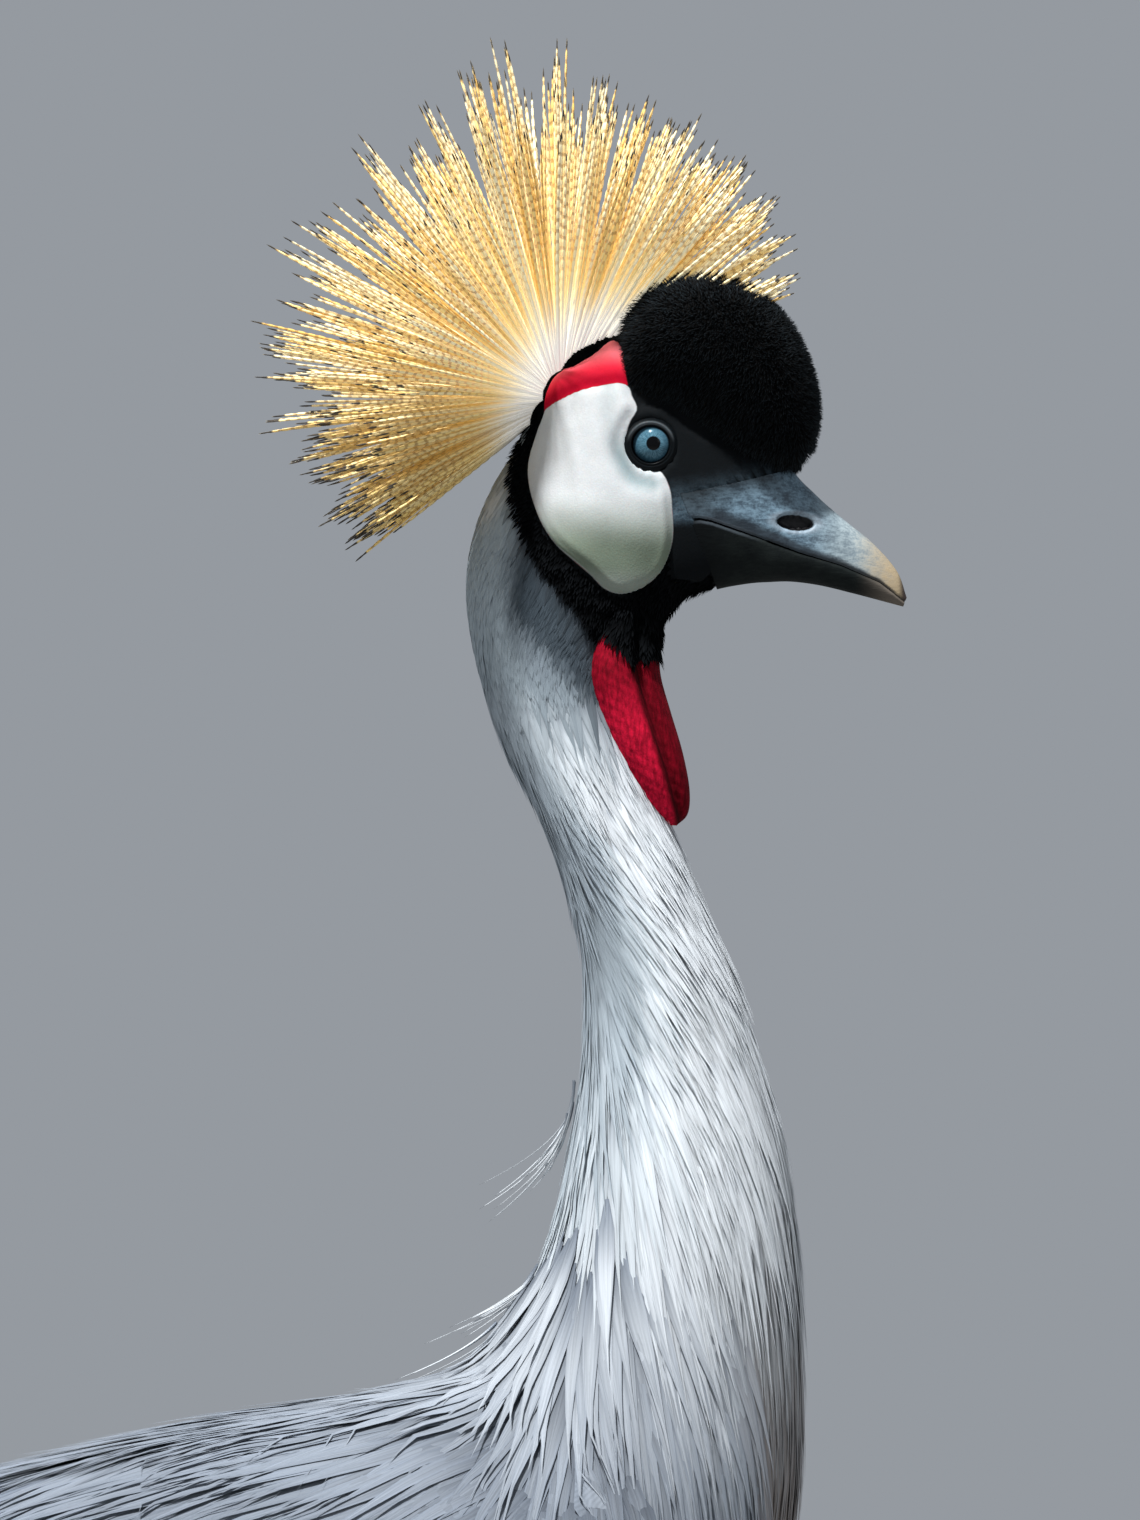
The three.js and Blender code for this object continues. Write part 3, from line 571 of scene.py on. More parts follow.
def build_feather_coat(laid):
    """Scatters feathers over part of a bed, in locks that lean the same way."""
    g = new_group("GeometryNodeTree", "feather_coat", {
        "Geometry": "Geometry", "Area": "String", "Spacing": 0.002, "Length": 0.05, "Width": 0.002,
        "Tip Height": 1.0, "Root Height": 0.0001, "Stray": 0.3, "Lock Size": 0.02, "Lock Stretch": (1, 1, 1),
        "Lock Lift": 1.0, "Vane": "Object", "Material": "Material", "Rise Power": 1.0, "Arch": 0.0002,
        "Seed": 1,
    }, COAT_OUTPUT)
    points, lock, swing = scatter(g)
    jitter = g.random((-0.25, -0.25, -0.25), (0.25, 0.25, 0.25), g["Seed"])
    up = g.direction("up")
    leaning = g.vector("ADD", g.direction("lie"), g.scaled(g.vector("ADD", swing, jitter), g["Stray"]))
    depth = g.node("ShaderNodeVectorMath", {0: leaning, 1: up}, operation="DOT_PRODUCT").outputs["Value"]
    flat = g.vector("NORMALIZE", g.vector("SUBTRACT", leaning, g.scaled(up, depth)))
    points = g.store(points, "lie", flat, "FLOAT_VECTOR")
    wave = g.spread(lock, 0.34, 0.66)
    stand = g.times(g.plus(0.35, g.times(wave, g["Lock Lift"])), draw(g, 0.8, 1.15, 4))
    for name, value in (
        ("tone", g.values(0.55, draw(g, 0.0, 1.0, 1), wave)),
        ("long", g.times(g["Length"], draw(g, 0.75, 1.25, 2), g.named("long"))),
        ("wide", g.times(g["Width"], draw(g, 0.75, 1.25, 3))),
        ("high", g.times(stand, g["Tip Height"], g.named("high"))),
        ("root_high", g["Root Height"]), ("cant", 0.0),
    ):
        points = g.store(points, name, value)
    given = {name: g[name] for name in ("Vane", "Material", "Rise Power", "Arch")}
    g.give("Geometry", g.group(laid, {"Points": points, "Bed": g["Geometry"], **given}))
    return g.tree


def build_placed_vanes(laid):
    """Puts a feather on each vertex of a root mesh and lays it along another object's surface."""
    g = new_group("GeometryNodeTree", "placed_vanes", {
        "Geometry": "Geometry", "Bed": "Object", "Vane": "Object", "Material": "Material", "Rise Power": 1.0,
        "Arch": 0.0002,
    }, COAT_OUTPUT)
    points = g.node("GeometryNodeMeshToPoints", {"Mesh": g["Geometry"]})
    bed = g.node("GeometryNodeObjectInfo", {"Object": g["Bed"], "As Instance": False}).outputs["Geometry"]
    given = {name: g[name] for name in ("Vane", "Material", "Rise Power", "Arch")}
    g.give("Geometry", g.group(laid, {"Points": points, "Bed": bed, **given}))
    return g.tree


def build_standing():
    """Stands a tuft or bristle on each point, pointing along aim and bowed towards bow at its tip."""
    g = new_group("GeometryNodeTree", "standing_tufts", {
        "Points": "Geometry", "Tuft": "Object", "Material": "Material", "Waist": 1.0, "Patch": PATCH,
    }, COAT_OUTPUT)
    inputs = {0: g.direction("aim"), 1: g.random((-1.0, -1.0, -1.0), (1.0, 1.0, 1.0), 5)}
    turned = g.node("FunctionNodeAxesToRotation", inputs, primary_axis="X", secondary_axis="Z")
    size = g.combine(g.named("long"), g.named("wide"), g.named("wide"))
    rooted = g.store(g["Points"], "root", g.node("GeometryNodeInputPosition"), "FLOAT_VECTOR")
    real = set_out(g, rooted, g["Tuft"], turned, size)
    t = g.named("t")
    axis = g.vector("ADD", g.direction("root"), g.scaled(g.direction("aim"), g.times(t, g.named("long"))))
    out = g.vector("SUBTRACT", g.node("GeometryNodeInputPosition"), axis)
    wave = beaded(g, g.named("beads"), t, g.named("tone"), g["Waist"], 1.0)
    bowed = g.scaled(g.direction("bow"), g.times(t, t))
    return dress(g, real, g.vector("ADD", g.vector("ADD", axis, g.scaled(out, wave)), bowed))


def beaded(g, beads, t, tone, low, high):
    """A wave between low and high for each bead along a bristle."""
    phase = g.plus(g.times(beads, t), g.times(tone, 7.0))
    return g.spread(g.math("SINE", g.times(phase, FULL_TURN)), -0.85, -0.1, low, high)


def build_tufted_coat(standing):
    """Scatters tufts that stand out from a bed and lean along its lie."""
    g = new_group("GeometryNodeTree", "tufted_coat", {
        "Geometry": "Geometry", "Area": "String", "Spacing": 0.001, "Length": 0.004, "Width": 0.001,
        "Lean": 0.5, "Stray": 0.5, "Lock Size": 0.004, "Lock Stretch": (1, 1, 1), "Tuft": "Object",
        "Material": "Material", "Seed": 1,
    }, COAT_OUTPUT)
    points, lock, swing = scatter(g)
    sway = g.vector("ADD", swing, g.random((-0.3, -0.3, -0.3), (0.3, 0.3, 0.3), g["Seed"]))
    standing_up = g.vector("ADD", g.direction("up"), g.scaled(g.direction("lie"), g["Lean"]))
    aim = g.vector("NORMALIZE", g.vector("ADD", standing_up, g.scaled(sway, g["Stray"])))
    points = g.store(points, "aim", aim, "FLOAT_VECTOR")
    span = draw(g, 0.7, 1.2, 2)
    for name, value in (
        ("tone", g.values(0.5, draw(g, 0.0, 1.0, 1), lock)),
        ("long", g.times(g["Length"], span, g.named("long"))), ("wide", g.times(g["Width"], span)),
    ):
        points = g.store(points, name, value)
    curl = g.scaled(g.direction("lie"), g.times(g["Length"], 0.25))
    points = g.store(points, "bow", curl, "FLOAT_VECTOR")
    g.give("Geometry", g.group(standing, {"Points": points, "Tuft": g["Tuft"], "Material": g["Material"]}))
    return g.tree


def build_placed_bristles(standing):
    """Stands a bristle on each vertex of a root mesh."""
    kinds = {"Geometry": "Geometry", "Tuft": "Object", "Material": "Material"}
    g = new_group("GeometryNodeTree", "placed_bristles", kinds, COAT_OUTPUT)
    points = g.node("GeometryNodeMeshToPoints", {"Mesh": g["Geometry"]})
    given = {"Points": points, "Tuft": g["Tuft"], "Material": g["Material"], "Waist": 0.7}
    g.give("Geometry", g.group(standing, given))
    return g.tree


def run_tree(name, source, tree, values):
    """The mesh that a geometry tree makes of an object, as a new object."""
    modifier = source.modifiers.new(name, "NODES")
    modifier.node_group = tree
    sockets = {s.name: s.identifier for s in tree.interface.items_tree if s.in_out == "INPUT"}
    for label, value in values.items():
        modifier[sockets[label]] = value
    graph = bpy.context.evaluated_depsgraph_get()
    evaluated = source.evaluated_get(graph)
    mesh = bpy.data.meshes.new_from_object(evaluated, preserve_all_data_layers=True, depsgraph=graph)
    mesh.name = name
    source.modifiers.remove(modifier)
    return show(name, mesh)


def remove(*objects):
    for piece in objects:
        bpy.data.objects.remove(piece)


# Feather and tuft shapes, one unit long, root at the origin, tip along +X
def hidden(made):
    made.hide_render = True
    return made


def unit_shape(name, points, faces, side):
    """A hidden shape that carries its length as t and its breadth as side."""
    mesh = bpy.data.meshes.new(name)
    mesh.from_pydata(points.tolist(), [], faces)
    mesh.update()
    made = show(name, mesh)
    set_attributes(made, t=points[:, 0], side=np.append(side, 0))
    return hidden(made)


def vane(name, steps, columns, outline):
    """A flat feather: outline gives its half width at each share of its length."""
    t = np.linspace(0, 1, steps + 1)[:-1]
    side = np.linspace(-1, 1, columns)
    half = outline(t)
    x = np.repeat(t[:, None], columns, 1)
    y = half[:, None] * side[None, :]
    points = np.stack([x, y, np.zeros_like(x)], -1).reshape(-1, 3)
    points = np.vstack([points, (1, 0, 0)])
    tip = len(points) - 1
    faces = grid_faces(steps, columns, closed=False)
    last = (steps - 1) * columns
    faces += [(last + j, tip, last + j + 1) for j in range(columns - 1)]
    return unit_shape(name, points, faces, np.tile(side, steps))


def bristle(name, steps, sides, radius, crowd=1.0):
    """A thin rod, open at its root. Radius gives its thickness at each share of its length.

    Crowd packs its rings towards the tip."""
    t = np.linspace(0, 1, steps + 1)[:-1] ** crowd
    angle = turns(sides)
    size = radius(t)[:, None]
    points = np.stack([np.repeat(t[:, None], sides, 1), size * np.cos(angle), size * np.sin(angle)], -1)
    points = np.vstack([points.reshape(-1, 3), (1, 0, 0)])
    tip = len(points) - 1
    faces = [tuple(reversed(face)) for face in grid_faces(steps, sides)]
    last = (steps - 1) * sides
    faces += [(last + j, last + (j + 1) % sides, tip) for j in range(sides)]
    return unit_shape(name, points, faces, np.tile(np.cos(angle), steps))


def lance(t):
    """Half width of a narrow pointed hackle."""
    return 0.5 * (0.25 + 0.75 * np.sin(np.pi * t**0.75)) * (1 - t**4)


def wisp(t):
    """Half width of a long hackle that thins to a fine point."""
    return 0.5 * (0.25 + 0.75 * np.sin(np.pi * t**0.62)) * (1 - t**2.2)


def oval(t):
    """Half width of a rounded body feather."""
    return 0.5 * np.sqrt(np.clip(1 - ((t - 0.55) / 0.62) ** 2, 0, 1)) + 0.02 * (1 - t)


def blade(t):
    """Half width of a long flight feather."""
    return 0.5 * np.minimum(1, 0.3 + 2.2 * t) * np.sqrt(np.clip(1 - ((t - 0.72) / 0.29).clip(0) ** 2.2, 0, 1))


# Shader groups
def build_feather_colour():
    """Colour of a feather from its root to its tip, darker at its edges, with its own tone."""
    g = new_group("ShaderNodeTree", "feather_colour", {
        "Root": (0.1, 0.1, 0.1, 1), "Tip": (0.5, 0.5, 0.5, 1), "Turn Low": 0.1, "Turn High": 0.6,
        "Tone Spread": 0.3, "Edge Dark": 0.3, "Streaks": 0.0,
    }, {"Colour": "Color"})
    t, side, tone = g.stored("t"), g.stored("side"), g.stored("tone")
    colour = g.colours(g.spread(t, g["Turn Low"], g["Turn High"]), g["Root"], g["Tip"])
    swing = g.times(g.minus(tone, 0.5), g["Tone Spread"])
    edge = g.times(g.math("POWER", g.math("ABSOLUTE", side), 2.0), g["Edge Dark"])
    across = g.plus(g.times(side, 3.0), g.times(tone, 300.0))
    fine = g.noise(g.combine(across, g.times(t, 1.6), 0.0), 1.0, 2.0)
    streak = g.times(g.minus(fine, 0.5), g["Streaks"])
    g.give("Colour", g.scaled(colour, g.minus(g.plus(1.0, swing, streak), edge)))
    return g.tree


def build_barbs():
    """Fine slanting barbs on both sides of a feather's shaft."""
    g = new_group("ShaderNodeTree", "barbs", {"Count": 60.0, "Slant": 0.3, "Shaft": 0.6}, {"Height": "Float"})
    t, away = g.stored("t"), g.math("ABSOLUTE", g.stored("side"))
    place = g.minus(t, g.times(away, g["Slant"]))
    wave = g.math("SINE", g.times(place, g.times(g["Count"], FULL_TURN)))
    shaft = g.times(g.spread(away, 0.16, 0.02), g["Shaft"])
    g.give("Height", g.plus(g.times(wave, 0.3), shaft))
    return g.tree


def patches_and_grain(g):
    """Soft patches and fine grain over a surface, in object space."""
    here = g.here()
    return g.noise(here, g["Patch Scale"], 4.0, 0.55), g.noise(here, g["Grain Scale"], 2.0)


def build_mottle():
    """Soft patches with fine grain in them."""
    inputs = {"Patch Scale": 60.0, "Grain Scale": 900.0, "Grain Share": 0.4}
    g = new_group("ShaderNodeTree", "mottle", inputs, {"Value": "Float", "Height": "Float"})
    patches, grain = patches_and_grain(g)
    g.give("Value", g.values(g["Grain Share"], patches, grain))
    g.give("Height", grain)
    return g.tree


def build_horn_grain():
    """Cloudy patches, grain and fine scratches along the bill."""
    inputs = {"Patch Scale": 170.0, "Grain Scale": 1400.0, "Scratch Scale": 900.0}
    g = new_group("ShaderNodeTree", "horn_grain", inputs, {"Value": "Float", "Scratches": "Float"})
    drawn = g.vector("MULTIPLY", g.here(), (0.25, 1.0, 1.0))
    scratches = g.noise(drawn, g["Scratch Scale"], 3.0, 0.6)
    g.give("Value", g.values(0.4, g.values(0.35, *patches_and_grain(g)), scratches))
    g.give("Scratches", scratches)
    return g.tree


def build_pores():
    """Small cells and wrinkles of bare skin, in object space."""
    inputs = {"Cell Scale": 900.0, "Crease": 0.5}
    g = new_group("ShaderNodeTree", "pores", inputs, {"Height": "Float"})
    here, scale = g.here(), g["Cell Scale"]
    cells = g.node("ShaderNodeTexVoronoi", {"Vector": here, "Scale": scale}, feature="F1")
    folds = g.noise(here, g.times(scale, 0.35), 3.0, 0.6)
    g.give("Height", g.values(g["Crease"], cells.outputs["Distance"], folds))
    return g.tree


def new_material(name, roughness, **settings):
    """A material with a Principled shader. Settings are its constant inputs, by name."""
    made = bpy.data.materials.new(name)
    made.use_nodes = True
    g = Graph(made.node_tree)
    g.material = made
    g.output = made.node_tree.nodes["Principled BSDF"]
    g.give("Roughness", roughness)
    for label, value in settings.items():
        g.give(label.replace("_", " "), value)
    return g


def feather(g, root, tip, turn, tone, edge, streaks=0.0):
    """A feather's colour: turn is where it changes from root to tip, and tone how much feathers differ."""
    return g.group(feather_colour, {
        "Root": root, "Tip": tip, "Turn Low": turn[0], "Turn High": turn[1], "Tone Spread": tone,
        "Edge Dark": edge, "Streaks": streaks,
    })


def barbed(g, count, slant, shaft, distance, strength):
    g.bump(g.group(barbs, {"Count": count, "Slant": slant, "Shaft": shaft}), distance, strength)


def rgb(*values):
    return (*values, 1.0)


laid_vanes = build_laid_vanes()
feather_coat = build_feather_coat(laid_vanes)
placed_vanes = build_placed_vanes(laid_vanes)
standing_tufts = build_standing()
tufted_coat = build_tufted_coat(standing_tufts)
placed_bristles = build_placed_bristles(standing_tufts)
feather_colour = build_feather_colour()
horn_grain = build_horn_grain()
barbs = build_barbs()
mottle = build_mottle()
pores = build_pores()

SLATE_PALE = rgb(0.115, 0.14, 0.18)
GREY_PALE = rgb(0.68, 0.72, 0.755)
# Darker grey of the upper and rear neck: partly the bird's own, partly painted shade
NAPE_GREY = rgb(0.44, 0.52, 0.57)
GREY_GAP = rgb(0.27, 0.31, 0.365)
WHITE_SKIN = rgb(0.53, 0.55, 0.56)
# Painted shade in the hollow of the cheek behind and under the eye
HOLLOW_SHADE_SKIN = rgb(0.25, 0.31, 0.325)
# Painted shade on the cheek's underside, with a greenish painted reflection
CHEEK_SHADE_SKIN = rgb(0.155, 0.195, 0.14)
RED_SKIN = rgb(0.78, 0.02, 0.05)
# Painted shade along the red patch's lower edge, at its seam with the white
RED_SEAM_SHADE = rgb(0.4, 0.002, 0.018)
# Painted pink highlight high on the red patch
RED_HIGHLIGHT = rgb(1.0, 0.23, 0.26)
CRIMSON = rgb(0.52, 0.007, 0.034)
# Painted shade on the wattle's front lobe and on its top, under the head's shadow
CRIMSON_SHADE = rgb(0.14, 0.001, 0.007)
# Painted shade in the crease between the wattle's lobes
CRIMSON_CREASE_SHADE = rgb(0.03, 0.0004, 0.0015)
LEG_BLACK = rgb(0.016, 0.016, 0.019)
# Painted highlight along the upper lid
LID_HIGHLIGHT = rgb(0.085, 0.1, 0.11)
BARE_BLACK = rgb(0.004, 0.0052, 0.0062)
PITCH = rgb(0.001, 0.001, 0.001)
# Painted shadow of the head on the upper neck, next to the black down
NECK_SHADE_GREY = rgb(0.045, 0.062, 0.075)
NECK_SHADE_ROOT = rgb(0.035, 0.045, 0.055)
DOWN_BLACK = rgb(0.0045, 0.0052, 0.006)
HORN_DARK = rgb(0.042, 0.067, 0.093)
HORN_LIGHT = rgb(0.165, 0.255, 0.325)
HORN_ROOT_DARK = rgb(0.02, 0.032, 0.045)
HORN_ROOT_LIGHT = rgb(0.082, 0.125, 0.158)


def grey_feathers():
    """Neck and body feathers: the same markings as the skin under them."""
    g = new_material("grey_feathers", 0.68, Specular_IOR_Level=0.1)
    calm, neck_shade = g.stored("calm"), g.stored("neck_shade")
    # Near the black down the feathers take the painted shadow colours
    root = g.colours(neck_shade, g.colours(calm, GREY_GAP, rgb(0.28, 0.32, 0.36)), NECK_SHADE_ROOT)
    tip = g.colours(neck_shade, g.colours(calm, GREY_PALE, NAPE_GREY), NECK_SHADE_GREY)
    spread, edge, streaks = (g.values(calm, *ends) for ends in ((0.36, 0.12), (0.3, 0.1), (1.1, 0.3)))
    colour = g.layers(
        feather(g, root, tip, (0.0, 0.5), spread, edge, streaks),
        (g.stored("slate"), feather(g, rgb(0.05, 0.06, 0.078), SLATE_PALE, (0.05, 0.75), 0.6, -0.35, 1.0)),
        (g.stored("pale"), rgb(0.66, 0.69, 0.7)), (g.times(g.stored("rust"), 0.45), rgb(0.3, 0.2, 0.12)),
        (g.stored("black"), DOWN_BLACK),
    )
    g.give("Base Color", colour)
    barbed(g, 30.0, 0.25, 0.8, 0.0002, 0.5)
    return g.material


def black_down():
    """Short black down of the head and throat, without gloss."""
    g = new_material("black_down", 0.9, Specular_IOR_Level=0.0)
    g.give("Base Color", feather(g, PITCH, DOWN_BLACK, (0.0, 1.0), 1.0, 0.0))
    barbed(g, 12.0, 0.3, 0.8, 0.0001, 0.4)
    return g.material


def bare_skin():
    """The whole skin, with the coat's markings where feathers cover it."""
    g = new_material("skin", 0.5, Subsurface_Weight=0.12, Subsurface_Scale=0.002, Specular_IOR_Level=0.06,
                     Subsurface_Radius=(1.0, 0.4, 0.25))
    black, white_in = g.stored("black"), g.stored("white_in")
    # The bare grey skin takes the same painted shadow and slate as its feathers
    grey = g.layers(
        g.colours(g.stored("calm"), rgb(0.24, 0.27, 0.31), rgb(0.32, 0.36, 0.4)),
        (g.stored("neck_shade"), NECK_SHADE_ROOT), (g.stored("slate"), rgb(0.09, 0.105, 0.13)),
        (g.stored("pale"), rgb(0.5, 0.49, 0.45)), (g.times(g.stored("rust"), 0.6), rgb(0.14, 0.1, 0.07)),
    )
    cloudy = g.spread(g.group(horn_grain, {}), 0.36, 0.62)
    dark = g.colours(g.stored("bill_grey"), BARE_BLACK, g.colours(cloudy, HORN_ROOT_DARK, HORN_ROOT_LIGHT))
    white = g.spread(white_in, -0.3, 0.3)
    # White cheek, with painted shade under it and in its hollow
    pale = g.layers(WHITE_SKIN, (g.stored("cheek_shade"), CHEEK_SHADE_SKIN), (g.stored("hollow"), HOLLOW_SHADE_SKIN))
    # The red patch: painted shade along the white, painted highlight at its top
    red_highlight = g.times(g.spread(white_in, -5.0, -13.0), 0.95)
    red = g.layers(RED_SEAM_SHADE, (g.spread(white_in, -2.0, -6.5), RED_SKIN), (red_highlight, RED_HIGHLIGHT))
    # The front lobe and the top of the wattle are painted in shade
    lobe = g.colours(g.math("MAXIMUM", g.stored("front"), g.stored("head_shadow")), CRIMSON, CRIMSON_SHADE)
    lines = g.noise(g.vector("MULTIPLY", g.here(), (1.0, 1.0, 0.22)), 800.0, 3.0, 0.6)
    lobe = g.scaled(lobe, g.spread(lines, 0.3, 0.7, 0.55, 1.35))
    colour = g.layers(
        g.colours(black, grey, dark), (white, pale), (g.spread(g.stored("red_in"), -0.2, 0.2), red),
        # Wattle lobes, with painted shade in the crease between them
        (g.spread(g.stored("wattle_in"), 0.1, 1.2), g.colours(g.stored("crease"), lobe, CRIMSON_CREASE_SHADE)),
        (g.stored("leg"), LEG_BLACK), (g.stored("arc"), LID_HIGHLIGHT),
    )
    patches = g.group(mottle, {"Patch Scale": 120.0, "Grain Scale": 1500.0, "Grain Share": 0.4})
    g.give("Base Color", g.scaled(colour, g.spread(patches, 0.3, 0.7, 0.92, 1.05)))
    rough = g.values(black, g.values(white, 0.58, 0.5), 0.8)
    g.give("Roughness", g.values(g.stored("lid"), rough, 0.3))
    g.bump(g.group(pores, {"Cell Scale": 1400.0, "Crease": 0.5}), 0.00018, 0.45)
    return g.material


def velvet():
    """Dense black plush of the cap."""
    g = new_material("black_velvet", 0.8, Sheen_Weight=0.02, Specular_IOR_Level=0.08)
    g.give("Base Color", feather(g, PITCH, rgb(0.018, 0.026, 0.032), (0.3, 1.0), 1.7, 0.0))
    fine = g.group(mottle, {"Patch Scale": 300.0, "Grain Scale": 2500.0})
    g.bump(fine.outputs["Height"], 0.0003, 0.5)
    return g.material


def golden_bristles():
    """Straw-gold bristles, beaded with pale and brown, cream at the base and black at the tip.

    They give off a painted glow, strongest near the base, in place of sunlight shining through them."""
    g = new_material("crest_bristles", 0.36, Sheen_Weight=0.3, Sheen_Roughness=0.5,
                     Sheen_Tint=rgb(1.0, 0.8, 0.45))
    t, tone, low = g.stored("t"), g.stored("tone"), g.stored("low")
    # The low bristles at the back get a darker gold, as painted shade
    bead = g.layers(
        rgb(0.78, 0.47, 0.11), (g.spread(tone, 0.0, 0.4), rgb(1.0, 0.74, 0.3)),
        (g.spread(tone, 0.25, 0.75), rgb(1.0, 0.9, 0.6)), (g.times(low, 0.75), rgb(0.86, 0.62, 0.2)),
    )
    gap = g.colours(g.times(g.spread(t, 0.25, 0.7), 0.6), bead, rgb(0.3, 0.15, 0.035))
    banded = g.colours(beaded(g, g.stored("beads"), t, tone, 0.0, 1.0), gap, bead)
    base = g.colours(g.spread(t, 0.08, 0.4), rgb(1.0, 0.98, 0.92), banded)
    tip = g.spread(g.plus(t, g.times(low, 0.03)), 0.958, 0.97)
    # Painted glow: the bristles give off light, most near the base and least on the low ones
    light = g.times(g.spread(t, 0.75, 0.0, 0.2, 0.36), g.minus(1.0, g.times(low, 0.8)))
    g.give("Emission Color", g.scaled(g.colours(tip, base, rgb(0.0, 0.0, 0.0)), light))
    g.give("Emission Strength", 1.0)
    g.give("Base Color", g.colours(tip, base, rgb(0.014, 0.012, 0.012)))
    g.give("Roughness", g.values(tip, 0.42, 0.6))
    return g.material


def upper_horn(g, value, along, edge):
    """Colour of the upper bill: dark at its root and lip, mottled slate, then pale and brown to its tip."""
    cloudy = g.spread(value, 0.36, 0.62)
    pale = g.colours(g.spread(value, 0.35, 0.65), rgb(0.16, 0.205, 0.235), rgb(0.36, 0.42, 0.43))
    rim = g.times(g.spread(g.stored("nostril"), 1.75, 1.2), 0.3)
    spotted = g.plus(along, g.times(g.minus(value, 0.5), 0.3))
    body = g.layers(
        g.colours(cloudy, HORN_DARK, HORN_LIGHT), (g.spread(along, 0.5, 0.8), pale),
        (rim, rgb(0.4, 0.45, 0.5)), (g.spread(spotted, 0.74, 0.95), rgb(0.38, 0.3, 0.19)),
        (g.spread(along, 0.955, 0.99), rgb(0.04, 0.028, 0.025)),
    )
    root = g.colours(cloudy, HORN_ROOT_DARK, HORN_ROOT_LIGHT)
    body = g.colours(g.spread(g.plus(along, g.times(value, 0.2)), 0.12, 0.36), root, body)
    open_horn = g.math("MAXIMUM", g.spread(g.stored("brow"), -4.0, 10.0), g.spread(along, 0.3, 0.48))
    band = g.minus(8.2, g.times(along, 7.0))
    share = g.over(g.plus(edge, g.times(value, 2.0)), band)
    lip = g.times(g.spread(share, 1.15, 0.6), g.spread(along, 0.02, 0.16, 0.3, 0.86))
    return g.layers(
        g.colours(open_horn, BARE_BLACK, body), (lip, rgb(0.015, 0.019, 0.025)),
        (g.spread(g.stored("nostril"), 1.06, 0.96), rgb(0.003, 0.003, 0.004)),
    )


def lower_horn(g, value, along):
    body = g.colours(g.spread(value, 0.35, 0.65), rgb(0.007, 0.009, 0.0095), rgb(0.013, 0.0165, 0.016))
    body = g.colours(g.spread(along, 0.04, 0.26), rgb(0.0045, 0.0055, 0.006), body)
    return g.colours(g.spread(along, 0.75, 0.97), body, rgb(0.14, 0.12, 0.1))


def horn(name, is_upper):
    """Slate horn that pales towards the tip, with scuffs along it and a painted highlight at the mouth's
    corner.
    """
    g = new_material(name, 0.38, Specular_IOR_Level=0.25 if is_upper else 0.04)
    marks = g.group(horn_grain, {})
    value, along, edge = marks.outputs["Value"], g.stored("along"), g.stored("edge")
    body = upper_horn(g, value, along, edge) if is_upper else lower_horn(g, value, along)
    # Painted highlight along the ridge above the gape, near the mouth's corner
    ridge = g.times(g.spread(edge, 1.5, 0.7), g.spread(along, 0.36, 0.2), g.spread(along, 0.0, 0.08))
    g.give("Base Color", g.colours(g.times(ridge, 0.45 if is_upper else 0.25), body, rgb(0.13, 0.16, 0.19)))
    low, high = (0.36, 0.52) if is_upper else (0.55, 0.7)
    rear = g.spread(along, 0.15, 0.0)
    g.give("Roughness", g.values(rear, g.spread(value, 0.3, 0.7, low, high), 0.8))
    g.bump(marks.outputs["Scratches"], 0.0003, 0.5)
    return g.material


def eye_colour(name, side):
    """Pale steel-blue iris with fine rays, a dark rim, and a round pupil under a wet surface."""
    g = new_material(name, 0.3, Coat_Weight=0.35, Coat_Roughness=0.02, Specular_IOR_Level=0.0)
    here = g.here()

    def share_from(middle):
        x, _, z = g.split(g.vector("SUBTRACT", here, tuple(in_frame(middle * (1, side, 1))[0])))
        away = g.math("SQRT", g.plus(g.times(x, x), g.times(z, z)))
        return g.over(away, IRIS_RADIUS * MM), g.math("ARCTAN2", z, x)

    share, angle = share_from(IRIS_MIDDLE)
    pupil_share, _ = share_from(EYE)
    round_it = g.combine(g.math("COSINE", angle), g.math("SINE", angle), g.times(share, 0.35))
    rays = g.noise(round_it, 14.0, 3.0, 0.6)
    pupil_edge, blur = PUPIL_RADIUS / IRIS_RADIUS, 0.03
    g.give("Base Color", g.layers(
        rgb(0.032, 0.09, 0.128), (g.spread(rays, 0.35, 0.68), rgb(0.092, 0.2, 0.265)),
        (g.times(g.spread(share, 0.62, 0.9), 0.6), rgb(0.03, 0.08, 0.12)),
        (g.spread(share, 0.9, 1.0), rgb(0.008, 0.009, 0.012)),
        (g.spread(pupil_share, pupil_edge + blur, pupil_edge - blur), rgb(0.001, 0.001, 0.0015)),
    ))
    g.bump(rays, 0.0002, 0.15)
    return g.material


def wing_feathers(name, root, tip, turn, tone, edge, shaft):
    """A layer of wing or tail feathers."""
    g = new_material(name, 0.55, Specular_IOR_Level=0.1)
    quill = g.times(g.spread(g.math("ABSOLUTE", g.stored("side")), 0.09, 0.02), 0.7)
    g.give("Base Color", g.colours(quill, feather(g, root, tip, turn, tone, edge), shaft))
    barbed(g, 90.0, 0.12, 1.0, 0.0004, 0.5)
    return g.material


def claw_horn():
    g = new_material("claw_horn", 0.35, Coat_Weight=0.2, Coat_Roughness=0.25)
    streaks = g.group(mottle, {"Patch Scale": 400.0, "Grain Scale": 2500.0, "Grain Share": 0.3})
    tone = g.spread(streaks, 0.35, 0.65)
    g.give("Base Color", g.colours(tone, rgb(0.012, 0.011, 0.011), rgb(0.05, 0.045, 0.04)))
    g.bump(streaks.outputs["Height"], 0.0002, 0.4)
    return g.material


# Markings and relief of the body, by place on its side
def coat_depth(place, count):
    return np.repeat(read_off(COAT_DEPTH, place)[:, None], count, 1)


